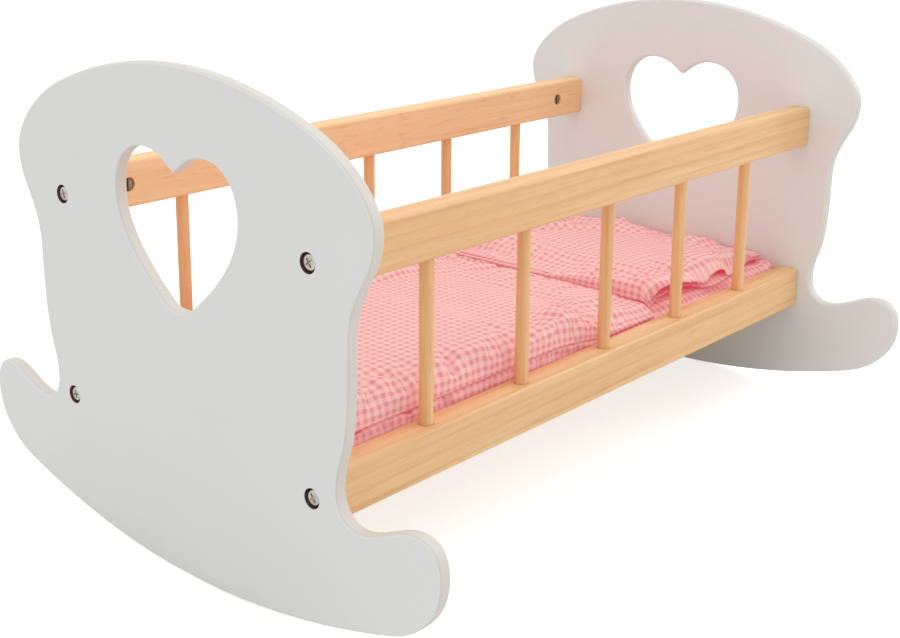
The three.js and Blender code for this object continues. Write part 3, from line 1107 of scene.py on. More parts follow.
@dataclass
class Rails:
    """The four pine rails, with sockets for the spindles and holes for the barrel nuts.

    The two bottom ones have a groove for the base board.
    """

    finishes: dict[tuple[Side, Storey], Timber]
    edge: float = 0.0018
    socket_play: float = 0.0003
    socket_depth: float = 0.009
    socket_sides: int = 32
    drill_reach: float = 0.03
    groove_play: float = 0.0003
    groove_overrun: float = 0.01

    def sockets(self, side: Side, storey: Storey, low: Vector, high: Vector) -> list[bpy.types.Object]:
        """Places the drills for a rail's spindles.

        Args:
            side: The rail's side.
            storey: Its level.
            low: Its lowest corner.
            high: Its highest corner.

        Returns:
            The drills.
        """
        face, inward = (high.z, -self.socket_depth) if storey is Storey.BOTTOM else (low.z, self.socket_depth)
        drills = []
        for number in range(1, SPINDLES_PER_SIDE + 1):
            start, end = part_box(f"{side.label}_spindle_{number}")
            centre = (start + end) / 2
            radius = (end.x - start.x) / 2 + self.socket_play
            mouth, floor = (Vector((centre.x, centre.y, face + depth)) for depth in (-inward, inward))
            drills.append(rod("drill", radius, mouth, floor, self.socket_sides))
        return drills

    def nut_holes(self, side: Side, storey: Storey) -> list[bpy.types.Object]:
        """Places the drills for a rail's barrel nuts, from its inner face.

        Args:
            side: The rail's side.
            storey: Its level.

        Returns:
            The drills.
        """
        drills = []
        for end in End:
            low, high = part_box(f"{corner_name(end, side, storey)}_nut")
            centre = (low + high) / 2
            radius = (high.x - low.x) / 2 + self.socket_play
            floor = (high.y if side is Side.REAR else low.y) + side.value * self.socket_play
            mouth = floor - side.value * self.drill_reach
            drills.append(rod("drill", radius, *(Vector((centre.x, y, centre.z)) for y in (mouth, floor))))
        return drills

    def groove(self, side: Side) -> bpy.types.Object:
        """Places the cutter of the groove that holds the base board.

        Args:
            side: The rail's side.

        Returns:
            The cutter, which reaches from the middle of the cradle to the groove's floor.
        """
        low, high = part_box("base_board")
        inner, outer = sorted((0.0, side.value * (high.y + self.groove_play)))
        return block(
            "groove",
            Vector((low.x - self.groove_overrun, inner, low.z - self.groove_play)),
            Vector((high.x + self.groove_overrun, outer, high.z + self.groove_play)),
        )

    def build(self) -> None:
        """Makes each rail from its own blank and dresses it."""
        for (side, storey), finish in self.finishes.items():
            name = f"{side.label}_{storey.label}"
            low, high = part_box(f"{name}_rail")
            rail = block(f"{name}_bar", low, high)
            rounded(rail, lambda a, b: abs(a.x - b.x) > NEAR, self.edge)
            cutters = self.sockets(side, storey, low, high) + self.nut_holes(side, storey)
            if storey is Storey.BOTTOM:
                cutters.append(self.groove(side))
            cut_out(rail, cutters)
            smoothed(rail)
            dressed(rail, finish.made(f"pine_{name}"), "cradle", f"{name}_rail")


@dataclass
class Spindles:
    """The dowels between the rails, with eased ends, each cut from its own part of the wood."""

    finish: Timber
    chamfer: float = 0.0008
    chamfer_steps: int = 2
    sides: int = 48
    smooth_degrees: float = 40.0
    heart_reach: Pair = (0.011, 0.012)
    heart_turn: Pair = (2.1, 1.7)

    def build(self) -> None:
        """Turns one dowel, and stands a copy at each place."""
        low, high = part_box("front_spindle_1")
        foot, top = (Vector((0, 0, level)) for level in (low.z, high.z))
        dowel = rod("dowel", (high.x - low.x) / 2, foot, top, self.sides)
        rounded(dowel, lambda a, b: abs(a.z - b.z) < NEAR, self.chamfer, self.chamfer_steps)
        smoothed(dowel, self.smooth_degrees)
        for side, number in product(Side, range(1, SPINDLES_PER_SIDE + 1)):
            node = f"{side.label}_spindle_{number}"
            x, y, _ = middle_of(node)
            copy = twin(dowel, f"{side.label}_dowel_{number}", Matrix.Translation((x, y, 0.0)))
            heart = (
                x + self.heart_reach[0] * math.cos(number * self.heart_turn[0]),
                y + self.heart_reach[1] * math.sin(number * self.heart_turn[1]),
                0.0,
            )
            finish = replace(self.finish, heart=heart).made(f"dowel_wood_{side.label}_{number}")
            dressed(copy, finish, "cradle", node)
        bpy.data.objects.remove(dowel)


@dataclass
class Fasteners:
    """Pan-head bolts with cross recesses, and the barrel nuts that they draw up."""

    bolt_finish: Plating
    nut_finish: Plating
    head_radius: float = 0.0047
    head_height: float = 0.0024
    head_dome: float = 0.0016
    head_sides: int = 48
    dome_steps: int = 6
    shank_radius: float = 0.0025
    seat_play: float = 0.0003
    cross_length: float = 0.0052
    cross_width: float = 0.0011
    cross_depth: float = 0.0013
    nut_slot: float = 0.0012
    nut_edge: float = 0.0004
    nut_edge_steps: int = 2
    nut_bore_sides: int = 32
    overrun: float = 0.001
    cutter_reach: float = 0.01
    smooth_degrees: float = 35.0
    spin: float = 0.35
    spin_spread: float = 0.6

    def bolt(self, length: float) -> bpy.types.Object:
        """Makes a bolt with the top of its head at x = 0 and its shank towards +X.

        Args:
            length: Its whole length.

        Returns:
            The bolt.
        """
        top, neck = Vector((0, 0, 0)), Vector((self.head_height, 0, 0))
        head = rod("bolt", self.head_radius, top, neck, self.head_sides)
        rounded(head, lambda a, b: max(a.x, b.x) < NEAR, self.head_dome, self.dome_steps)
        pick_faces(head, lambda face: face.normal.x > FACING)
        bpy.ops.mesh.inset(thickness=self.head_radius - self.shank_radius, depth=0.0)
        bpy.ops.mesh.extrude_region_move(TRANSFORM_OT_translate={"value": (length - self.head_height, 0, 0)})
        bpy.ops.object.mode_set(mode="OBJECT")
        cutters = []
        for wide, high in ((self.cross_length, self.cross_width), (self.cross_width, self.cross_length)):
            half = Vector((0.0, wide / 2, high / 2))
            start, end = Vector((-self.overrun, 0, 0)), Vector((self.cross_depth, 0, 0))
            cutters.append(block("arm", start - half, end + half))
        cut_out(head, cutters)
        smoothed(head, self.smooth_degrees)
        return head

    def nut(self, low: Vector, high: Vector) -> bpy.types.Object:
        """Makes a barrel nut about the origin, slotted at its end towards -Y.

        Args:
            low: The lowest corner of a nut's node.
            high: Its highest corner.

        Returns:
            The nut.
        """
        middle = (low + high) / 2
        start, end = low.y - middle.y, high.y - middle.y
        barrel = rod("nut", (high.x - low.x) / 2, Vector((0, start, 0)), Vector((0, end, 0)))
        rounded(barrel, lambda a, b: abs(a.y - b.y) < NEAR, self.nut_edge, self.nut_edge_steps)
        half, reach = self.nut_slot / 2, self.cutter_reach
        corners = Vector((-half, start - self.overrun, -reach)), Vector((half, start + self.nut_slot, reach))
        thread = self.shank_radius + self.seat_play
        bore = rod("bore", thread, Vector((-reach, 0, 0)), Vector((reach, 0, 0)), self.nut_bore_sides)
        cut_out(barrel, [block("slot", *corners), bore])
        smoothed(barrel, self.smooth_degrees)
        return barrel

    def build(self) -> None:
        """Models one bolt and one nut, and sets a copy at each joint."""
        low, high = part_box("foot_front_bottom_bolt")
        bolt = self.bolt(high.x - low.x)
        nut = self.nut(*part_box("foot_rear_bottom_nut"))
        bolt_finish = self.bolt_finish.made("nickel")
        nut_finish = self.nut_finish.made("nut_steel")
        for end, side, storey in product(End, Side, Storey):
            corner = corner_name(end, side, storey)
            low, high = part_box(f"{corner}_bolt")
            place = middle_of(f"{corner}_bolt")
            place.x = low.x if end is End.FOOT else high.x
            spin = Matrix.Rotation(self.spin + self.spin_spread * side.value * end.value, 4, "X")
            move = Matrix.Translation(place) @ half_turn(end is End.HEAD) @ spin
            dressed(twin(bolt, f"{corner}_screw", move), bolt_finish, "cradle", f"{corner}_bolt")
            move = Matrix.Translation(middle_of(f"{corner}_nut")) @ half_turn(side is Side.FRONT)
            dressed(twin(nut, f"{corner}_barrel", move), nut_finish, "cradle", f"{corner}_nut")
        bpy.data.objects.remove(bolt)
        bpy.data.objects.remove(nut)


@dataclass
class BaseBoard:
    """The thin plywood board in the grooves of the bottom rails."""

    finish: Veneer
    edge: float = 0.0003

    def build(self) -> None:
        """Cuts the board to the frame's size and dresses it."""
        board = block("base_ply", *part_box("base_board"))
        rounded(board, lambda a, b: True, self.edge, 1)
        smoothed(board)
        dressed(board, self.finish.made("plywood"), "cradle", "base_board")


def eased(value: float, start: float, end: float) -> float:
    """How far a value has gone from a start to an end, from 0 to 1, slow at both."""
    share = min(1.0, max(0.0, (value - start) / (end - start)))
    return share * share * (3 - 2 * share)


@dataclass(frozen=True)
class Fold:
    """A soft ridge across a piece of bedding, or a dent where its height is negative.

    Its right run is the width of its flank on the right of the way from start to end. Past
    its ends it fades out over the same run, or over the end run where that is longer.
    """

    start: Pair
    end: Pair
    height: float
    right_run: float
    left_run: float
    end_run: float = 0.006

    def lift(self, x: float, y: float) -> float:
        """How much the fold raises the cloth at a place.

        Args:
            x: The place along the cradle.
            y: The place across it.

        Returns:
            The height that it adds.
        """
        along = Vector(self.end) - Vector(self.start)
        length = along.length
        along.normalize()
        offset = Vector((x, y)) - Vector(self.start)
        past = max(-offset.dot(along), offset.dot(along) - length, 0.0)
        side = offset.x * along.y - offset.y * along.x
        run = self.right_run if side > 0 else self.left_run
        return self.height * (1 - eased(abs(side), 0.0, run)) * (1 - eased(past, 0.0, max(run, self.end_run)))


@dataclass(frozen=True)
class Roll:
    """The rounded edge of a filled cloth, measured along the cloth itself.

    The cloth goes up over its rise and is level once it is its run in from the seam. A
    power of 2 makes an ellipse, and more a squarer edge. It is measured by short steps.
    """

    run: float
    rise: float
    power: float = 2.0
    steps: int = 48

    @cached_property
    def angles(self) -> list[float]:
        """The angle of each step."""
        return [math.pi / 2 * step / self.steps for step in range(self.steps + 1)]

    @cached_property
    def across(self) -> list[float]:
        """The way in from the seam at each step, as seen from above."""
        return [self.run * (1 - math.cos(angle) ** (2 / self.power)) for angle in self.angles]

    @cached_property
    def share(self) -> list[float]:
        """The share of the full height at each step."""
        return [math.sin(angle) ** (2 / self.power) for angle in self.angles]

    @cached_property
    def along(self) -> list[float]:
        """Adds up the steps.

        Returns:
            The way along the cloth at each step.
        """
        gone = [0.0]
        for step in range(self.steps):
            wide = self.across[step + 1] - self.across[step]
            high = (self.share[step + 1] - self.share[step]) * self.rise
            gone.append(gone[-1] + math.hypot(wide, high))
        return gone

    @property
    def extra(self) -> float:
        """How much more cloth the edge takes than a level one."""
        return self.along[-1] - self.run

    def at(self, distance: float) -> Pair:
        """Follows the cloth from its seam.

        Args:
            distance: The way along the cloth.

        Returns:
            The way in from the seam as seen from above, and the share of the full height.
        """
        if distance >= self.along[-1]:
            return self.run + distance - self.along[-1], 1.0
        step = max(0, bisect_right(self.along, distance) - 1)
        part = (distance - self.along[step]) / (self.along[step + 1] - self.along[step])
        across = self.across[step] + part * (self.across[step + 1] - self.across[step])
        return across, self.share[step] + part * (self.share[step + 1] - self.share[step])


@dataclass(frozen=True)
class MattressTop:
    """The level that the duvet and the pillow lie on, which sinks at the front and the head."""

    level: float = 0.0991
    front_edge: float = -0.0933
    front_sink: float = 0.0062
    front_run: float = 0.011
    front_span: Pair = (-0.04, 0.03)
    head_edge: float = 0.2388
    head_sink: float = 0.0036
    head_run: float = 0.03

    def height(self, x: float, y: float) -> float:
        """The height of the mattress at a place, its rounded edge left out.

        Args:
            x: The place along the cradle.
            y: The place across it.

        Returns:
            The height.
        """
        front = 1 - eased(y, self.front_edge, self.front_edge + self.front_run)
        head = 1 - eased(-x, -self.head_edge, -self.head_edge + self.head_run)
        return self.level - max(self.front_sink * eased(x, *self.front_span) * front, self.head_sink * head)


@dataclass(frozen=True)
class Cotton:
    """How the cloth resists, as the cloth simulation has it."""

    quality: int = 5
    mass: float = 0.2
    air_damping: float = 2.0
    stretch: float = 15.0
    shear: float = 5.0
    bending: float = 0.005


@dataclass
class Cushion:
    """A sewn and filled piece of bedding: a bag of cloth, formed and then left to crumple."""

    node: str
    name: str
    finish: Gingham
    bed: MattressTop
    fill: float
    slack: float
    pressure: float = 1.5
    cap: float = 0.004
    step: float = 0.003
    frames: int = 20
    cotton: Cotton = Cotton()
    bag_thickness: float = 0.004
    clearance: float = 0.0003
    seam_height: float = 0.004
    held_margin: float = 0.0002
    taut_span: Pair = (0.012, 0.045)
    draw_in: float = 0.0015
    tuck: float = 0.002
    under_roll: Roll = Roll(0.004, 0.002)
    foot_roll: Roll = Roll(0.008, 0.005)
    head_roll: Roll = Roll(0.008, 0.005)
    front_roll: Roll = Roll(0.008, 0.005)
    rear_roll: Roll = Roll(0.008, 0.005)
    folds: tuple[Fold, ...] = ()

    @cached_property
    def space(self) -> tuple[Vector, Vector]:
        """The lowest and the highest corner of the frame's solid."""
        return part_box(self.node)

    def under(self, x: float, y: float) -> float:
        """The height of what the piece lies on."""
        return self.bed.height(x, y) + self.clearance

    def over(self, x: float, y: float) -> float:
        """The height of the piece's top, its rounded edges left out."""
        raise NotImplementedError

    def ring(self, x: float, y: float) -> float:
        """The height of the seam round the piece."""
        return self.under(x, y) + self.seam_height

    def blank(self) -> bpy.types.Object:
        """Cuts and sews the cloth flat, laid out from its foot-front corner.

        Returns:
            A closed bag of fine squares.
        """
        low, high = self.space
        length = high.x - low.x + self.foot_roll.extra + self.head_roll.extra
        width = high.y - low.y + self.front_roll.extra + self.rear_roll.extra
        bpy.ops.object.select_all(action="DESELECT")
        bpy.ops.mesh.primitive_grid_add(
            x_subdivisions=round(length / self.step), y_subdivisions=round(width / self.step),
            size=1.0, location=(length / 2, width / 2, 0.0),
        )
        bpy.context.object.scale = (length, width, 1.0)
        bag = settled(bpy.context.object, f"{self.node}_bag")
        bpy.ops.object.mode_set(mode="EDIT")
        bpy.ops.mesh.select_all(action="SELECT")
        bpy.ops.mesh.extrude_region_move(TRANSFORM_OT_translate={"value": (0, 0, self.bag_thickness)})
        bpy.ops.mesh.select_all(action="SELECT")
        bpy.ops.mesh.normals_make_consistent(inside=False)
        bpy.ops.object.mode_set(mode="OBJECT")
        self.mapped(bag)
        return bag

    def mapped(self, bag: bpy.types.Object) -> None:
        """Keeps the flat cloth's own measure as its map, which goes on over the seam.

        Args:
            bag: The flat bag.
        """
        mesh = bag.data
        layer = mesh.uv_layers.new(name="cloth")
        for face in mesh.polygons:
            x_way, y_way = (round(way) for way in face.normal.xy)
            for corner in face.loop_indices:
                place = mesh.vertices[mesh.loops[corner].vertex_index].co
                drop = self.bag_thickness - place.z
                layer.data[corner].uv = (place.x + x_way * drop, place.y + y_way * drop)

    def outline(self, x: float, y: float) -> Pair:
        """Draws the sides in a little between the corners.

        Args:
            x: A place along the straight-sided piece.
            y: The place across it.

        Returns:
            The same place on the drawn-in piece.
        """
        low, high = self.space
        u = 2 * (x - low.x) / (high.x - low.x) - 1
        v = 2 * (y - low.y) / (high.y - low.y) - 1
        return x - self.draw_in * u * (1 - v * v), y - self.draw_in * 2 / 3 * v * (1 - u * u)

    def shaped(self, bag: bpy.types.Object) -> None:
        """Gives the flat bag its filled form.

        Args:
            bag: The flat bag.
        """
        low, high = self.space
        length, width = (max(vertex.co[axis] for vertex in bag.data.vertices) for axis in (0, 1))
        for vertex in bag.data.vertices:
            foot, foot_share = self.foot_roll.at(vertex.co.x)
            head, head_share = self.head_roll.at(length - vertex.co.x)
            front, front_share = self.front_roll.at(vertex.co.y)
            rear, rear_share = self.rear_roll.at(width - vertex.co.y)
            x = low.x + foot if vertex.co.x < length / 2 else high.x - head
            y = low.y + front if vertex.co.y < width / 2 else high.y - rear
            x, y = self.outline(x, y)
            if vertex.co.z > self.bag_thickness / 2:
                share = foot_share * head_share * front_share * rear_share
                ring = self.ring(x, y)
                lift = sum(fold.lift(x, y) for fold in self.folds)
                vertex.co = x, y, ring + (self.over(x, y) + lift - ring) * share
            else:
                share = min(self.under_roll.at(distance)[1] for distance in (foot, head, front, rear))
                vertex.co = x, y, self.under(x, y) + self.tuck * (1 - share)

    def grouped(self, bag: bpy.types.Object) -> None:
        """Marks the points that the seam and the bed hold, and how taut the cloth is.

        Args:
            bag: The formed bag.
        """
        low, high = self.space
        held = bag.vertex_groups.new(name="held")
        taut = bag.vertex_groups.new(name="taut")
        for vertex in bag.data.vertices:
            x, y, z = vertex.co
            inner = min(x - low.x, high.x - x, y - low.y, high.y - y)
            if z < self.ring(x, y) + self.held_margin:
                held.add([vertex.index], 1.0, "REPLACE")
            taut.add([vertex.index], eased(inner, *self.taut_span), "REPLACE")

    def crumpled(self, bag: bpy.types.Object) -> None:
        """Lets the slack cloth buckle along its seams.

        Args:
            bag: The formed bag.
        """
        formed = [vertex.co.copy() for vertex in bag.data.vertices]
        chosen(bag)
        cloth = bag.modifiers.new("cloth", "CLOTH")
        settings = cloth.settings
        settings.quality = self.cotton.quality
        settings.mass = self.cotton.mass
        settings.air_damping = self.cotton.air_damping
        settings.tension_stiffness = settings.compression_stiffness = self.cotton.stretch
        settings.shear_stiffness = self.cotton.shear
        settings.bending_stiffness = self.cotton.bending
        settings.use_pressure = True
        settings.uniform_pressure_force = self.pressure
        settings.vertex_group_mass = "held"
        settings.vertex_group_shrink = "taut"
        settings.shrink_min = -self.slack
        settings.shrink_max = 0.0
        settings.effector_weights.gravity = 0.0
        cloth.collision_settings.use_collision = False
        cloth.point_cache.frame_start = 1
        cloth.point_cache.frame_end = self.frames
        for frame in range(1, self.frames + 1):
            bpy.context.scene.frame_set(frame)
        bpy.ops.object.modifier_apply(modifier=cloth.name)
        bpy.context.scene.frame_set(1)
        self.capped(bag, formed)

    def capped(self, bag: bpy.types.Object, formed: Sequence[Vector]) -> None:
        """Keeps the crumpled cloth near its form, inside its solid and over what it lies on.

        Args:
            bag: The crumpled bag.
            formed: Where each of its points was.
        """
        low, high = self.space
        for vertex, start in zip(bag.data.vertices, formed):
            move = vertex.co - start
            if move.length > self.cap:
                move *= self.cap / move.length
            place = start + move
            place.x = min(high.x, max(low.x, place.x))
            place.y = min(high.y, max(min(low.y, start.y), place.y))
            place.z = min(high.z, max(self.under(place.x, place.y), place.z))
            vertex.co = place

    def finished(self, bag: bpy.types.Object) -> None:
        """Rounds the cloth once more and shades it smooth.

        Args:
            bag: The crumpled bag.
        """
        chosen(bag)
        bag.vertex_groups.clear()
        rounder = bag.modifiers.new("rounder", "SUBSURF")
        rounder.levels = rounder.render_levels = 1
        bpy.ops.object.modifier_apply(modifier=rounder.name)
        bpy.ops.object.shade_smooth()

    def declared(self, bag: bpy.types.Object) -> None:
        """Leaves the piece as it is."""

    def build(self) -> None:
        """Makes the bag, fills it and dresses it."""
        bag = self.blank()
        self.shaped(bag)
        self.grouped(bag)
        self.crumpled(bag)
        self.finished(bag)
        bag.name = bag.data.name = self.name
        dressed(bag, self.finish.made(f"gingham_{self.name}"), self.node, self.node)
        self.declared(bag)


@dataclass
class Mattress(Cushion):
    """The thick mattress, with upright sides between the rails and the same edge all round."""

    cap: float = 0.0025
    draw_in: float = 0.0005
    foot_roll: Roll = Roll(0.007, 0.0085, 5.0)
    head_roll: Roll = Roll(0.007, 0.0085, 5.0)
    front_roll: Roll = Roll(0.007, 0.0085, 5.0)
    rear_roll: Roll = Roll(0.007, 0.0085, 5.0)

    def under(self, x: float, y: float) -> float:
        """The height of the base board."""
        return self.space[0].z

    def over(self, x: float, y: float) -> float:
        """The level that the rest lies on."""
        return self.bed.height(x, y)

    def ring(self, x: float, y: float) -> float:
        """The height of the seam, out of sight behind the rails."""
        return self.over(x, y) - self.front_roll.rise


@dataclass
class Duvet(Cushion):
    """The duvet, full and round at its hem, and thin and soft towards the pillow."""

    draw_in: float = 0.0002
    tuck: float = 0.0008
    foot_roll: Roll = Roll(0.014, 0.0125, 2.2)
    head_roll: Roll = Roll(0.006, 0.003)
    front_roll: Roll = Roll(0.014, 0.0125, 2.2)
    rear_roll: Roll = Roll(0.014, 0.0125, 2.2)
    loft: float = 0.0165
    head_loft: float = 0.0028
    head_seam_drop: float = 0.002
    head_span: Pair = (-0.02, 0.066)
    head_reach: float = 0.0025
    corner_drop: float = 0.0015
    corner_span: Pair = (0.0, 0.06)
    corner_front_span: Pair = (-0.093, -0.04)
    wave: float = 0.0009
    wave_scale: float = 14.0
    wave_seed: float = 17.0

    @cached_property
    def space(self) -> tuple[Vector, Vector]:
        """The corners of the solid, with the cloth's reach towards the pillow."""
        low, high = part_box(self.node)
        return low, high + Vector((self.head_reach, 0.0, 0.0))

    def ring(self, x: float, y: float) -> float:
        """The height of the seam, which lies low at the pillow."""
        return super().ring(x, y) - self.head_seam_drop * eased(x, *self.head_span)

    def over(self, x: float, y: float) -> float:
        """The height of the duvet's top, which sinks at its corner by the pillow's mouth.

        Args:
            x: The place along the cradle.
            y: The place across it.

        Returns:
            The height.
        """
        thin = eased(x, *self.head_span)
        corner = eased(x, *self.corner_span) * (1 - eased(y, *self.corner_front_span))
        loft = self.loft + (self.head_loft - self.loft) * thin - self.corner_drop * corner
        wave = self.wave * noise(Vector((x * self.wave_scale, y * self.wave_scale, self.wave_seed)))
        return self.under(x, y) + loft + wave


@dataclass(frozen=True)
class Rim:
    """The two edges of the pillowcase's mouth at one place along it.

    The upper one has its own height, and the lower one lies on the bed.
    """

    x: float
    upper: Pair
    lower: float


@dataclass
class Pillow(Cushion):
    """The pillowcase, open at the front, with the pillow's form in it.

    Its edge is steep at the foot and soft at the head and the rear.
    """

    draw_in: float = 0.0004
    foot_roll: Roll = Roll(0.0028, 0.009, 3.4)
    head_roll: Roll = Roll(0.022, 0.006)
    front_roll: Roll = Roll(0.0001, 0.0001)
    rear_roll: Roll = Roll(0.020, 0.007)
    loft: float = 0.0132
    body_loft: float = 0.0118
    body_span: Pair = (0.077, 0.114)
    rear_foot_loft: float = 0.0034
    rear_span: Pair = (-0.062, 0.018)
    head_drop: float = 0.006
    head_span: Pair = (0.15, 0.236)
    foot_reach: float = 0.0018
    foot_face: float = 0.004
    rim_run: float = 0.008
    lower_rim_lift: float = 0.0008
    hem: float = 0.0007
    turned_in: float = 0.02
    foot_turned_in: float = 0.008
    mouth: tuple[Rim, ...] = (
        Rim(0.0740, (-0.0868, 0.1012), -0.0868),
        Rim(0.0775, (-0.0872, 0.1020), -0.0870),
        Rim(0.0805, (-0.0882, 0.1062), -0.0862),
        Rim(0.0860, (-0.0892, 0.1094), -0.0840),
        Rim(0.0960, (-0.0898, 0.1102), -0.0810),
        Rim(0.1040, (-0.0898, 0.1096), -0.0795),
        Rim(0.1130, (-0.0892, 0.1074), -0.0785),
        Rim(0.1280, (-0.0892, 0.1050), -0.0815),
        Rim(0.1370, (-0.0897, 0.1015), -0.0870),
        Rim(0.1430, (-0.0902, 0.0995), -0.0888),
        Rim(0.1510, (-0.0905, 0.1056), -0.0895),
        Rim(0.1600, (-0.0905, 0.1068), -0.0895),
        Rim(0.1690, (-0.0895, 0.1045), -0.0888),
        Rim(0.1750, (-0.0885, 0.0978), -0.0880),
        Rim(0.1950, (-0.0860, 0.0965), -0.0860),
        Rim(0.2378, (-0.0760, 0.0965), -0.0760),
    )

    @cached_property
    def space(self) -> tuple[Vector, Vector]:
        """The corners of the solid, with the cloth's reach towards the duvet."""
        low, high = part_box(self.node)
        return low - Vector((self.foot_reach, 0.0, 0.0)), high

    def over(self, x: float, y: float) -> float:
        """The height of the pillow's top.

        Args:
            x: The place along the cradle.
            y: The place across it.

        Returns:
            The height.
        """
        foot_loft = self.loft + (self.rear_foot_loft - self.loft) * eased(y, *self.rear_span)
        body_loft = self.body_loft - self.head_drop * eased(x, *self.head_span)
        return self.under(x, y) + foot_loft + (body_loft - foot_loft) * eased(x, *self.body_span)

    def rim_at(self, x: float) -> Rim:
        """Follows the mouth's edges, eased from one given place to the next.

        Args:
            x: The place along the mouth.

        Returns:
            The two edges there.
        """
        after = next((rim for rim in self.mouth if rim.x >= x), self.mouth[-1])
        before = self.mouth[max(0, self.mouth.index(after) - 1)]
        share = eased(x, before.x, after.x) if after is not before else 0.0
        upper = tuple(a + (b - a) * share for a, b in zip(before.upper, after.upper))
        return Rim(x, upper, before.lower + (after.lower - before.lower) * share)

    def shaped(self, bag: bpy.types.Object) -> None:
        """Gives the flat bag its filled form, and parts the two edges of its mouth.

        Args:
            bag: The flat bag.
        """
        low = self.space[0]
        flat = [vertex.co.copy() for vertex in bag.data.vertices]
        super().shaped(bag)
        for vertex, before in zip(bag.data.vertices, flat):
            if before.y >= self.rim_run:
                continue
            near = 1 - math.sqrt(1 - (1 - before.y / self.rim_run) ** 2)
            x, y, z = vertex.co
            rim = self.rim_at(x)
            if before.z > self.bag_thickness / 2:
                share = self.foot_roll.at(before.x)[1]
                ring = self.ring(x, y)
                vertex.co.y += (rim.upper[0] - low.y) * near
                vertex.co.z = z + (ring + (rim.upper[1] - ring) * share - z) * near
            else:
                vertex.co.y += (rim.lower - low.y) * near
                lift = (z - self.under(x, y)) * (1 - near)
                vertex.co.z = self.under(x, vertex.co.y) + self.lower_rim_lift + lift

    def grouped(self, bag: bpy.types.Object) -> None:
        """Marks what holds the cloth, the rims of the mouth and the pressed foot face among it.

        Args:
            bag: The formed bag.
        """
        super().grouped(bag)
        firm = {index for face in bag.data.polygons if self.in_mouth(bag, face) for index in face.vertices}
        edge = self.space[0].x + self.foot_face
        firm |= {vertex.index for vertex in bag.data.vertices if vertex.co.x < edge}
        bag.vertex_groups["held"].add(list(firm), 1.0, "REPLACE")

    def in_mouth(self, bag: bpy.types.Object, face: bpy.types.MeshPolygon) -> bool:
        """Whether a face closes the mouth, and so has the cloth map go on below its front edge."""
        layer = bag.data.uv_layers["cloth"].data
        return min(layer[corner].uv.y for corner in face.loop_indices) < -self.bag_thickness / 2

    def finished(self, bag: bpy.types.Object) -> None:
        """Opens the mouth, gives the cloth its thickness and rounds it.

        Args:
            bag: The crumpled bag.
        """
        pick_faces(bag, lambda face: self.in_mouth(bag, face))
        bpy.ops.mesh.delete(type="FACE")
        bpy.ops.object.mode_set(mode="OBJECT")
        wall = bag.modifiers.new("wall", "SOLIDIFY")
        wall.thickness = self.hem
        wall.offset = -1.0
        bpy.ops.object.modifier_apply(modifier=wall.name)
        super().finished(bag)

    def declared(self, bag: bpy.types.Object) -> None:
        """Reads the case's space and leaves the case as it is.

        Args:
            bag: The finished case; it is not used.
        """
        low, high = self.space


@dataclass
class PillowPad(Cushion):
    """The filled pad inside the pillowcase, seen through its mouth."""

    seam_height: float = 0.002
    head_roll: Roll = Roll(0.02, 0.004)
    rear_roll: Roll = Roll(0.018, 0.005)
    inset: float = 0.0022
    mouth_inset: float = 0.013
    loft: float = 0.0062
    head_drop: float = 0.0035
    head_span: Pair = (0.15, 0.236)
    rear_foot_drop: float = 0.0045
    foot_span: Pair = (0.08, 0.12)
    rear_span: Pair = (-0.06, 0.0)

    @cached_property
    def space(self) -> tuple[Vector, Vector]:
        """The corners of the solid, drawn in by the case and back from its mouth."""
        low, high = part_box(self.node)
        inset = Vector((self.inset, self.inset, self.inset))
        return low + Vector((self.inset, self.mouth_inset, 0.0)), high - inset

    def under(self, x: float, y: float) -> float:
        """The height of the case's lower side."""
        return super().under(x, y) + self.inset

    def over(self, x: float, y: float) -> float:
        """The height of the pad's top, under the case.

        Args:
            x: The place along the cradle.
            y: The place across it.

        Returns:
            The height.
        """
        rear_foot = (1 - eased(x, *self.foot_span)) * eased(y, *self.rear_span)
        loft_drop = self.head_drop * eased(x, *self.head_span)
        return self.under(x, y) + self.loft - loft_drop - self.rear_foot_drop * rear_foot


@dataclass(frozen=True)
class Lamp:
    """A square soft box that hangs at a place."""

    name: str
    place: Place
    size: float
    watts: float

    def hung(self, aim: Place) -> None:
        """Hangs the lamp.

        Args:
            aim: The place that it looks at.
        """
        light = bpy.data.lights.new(self.name, "AREA")
        light.size = self.size
        light.energy = self.watts
        lamp = bpy.data.objects.new(self.name, light)
        bpy.context.scene.collection.objects.link(lamp)
        turn = (Vector(aim) - Vector(self.place)).to_track_quat("-Z", "Y")
        lamp.matrix_world = Matrix.Translation(self.place) @ turn.to_matrix().to_4x4()


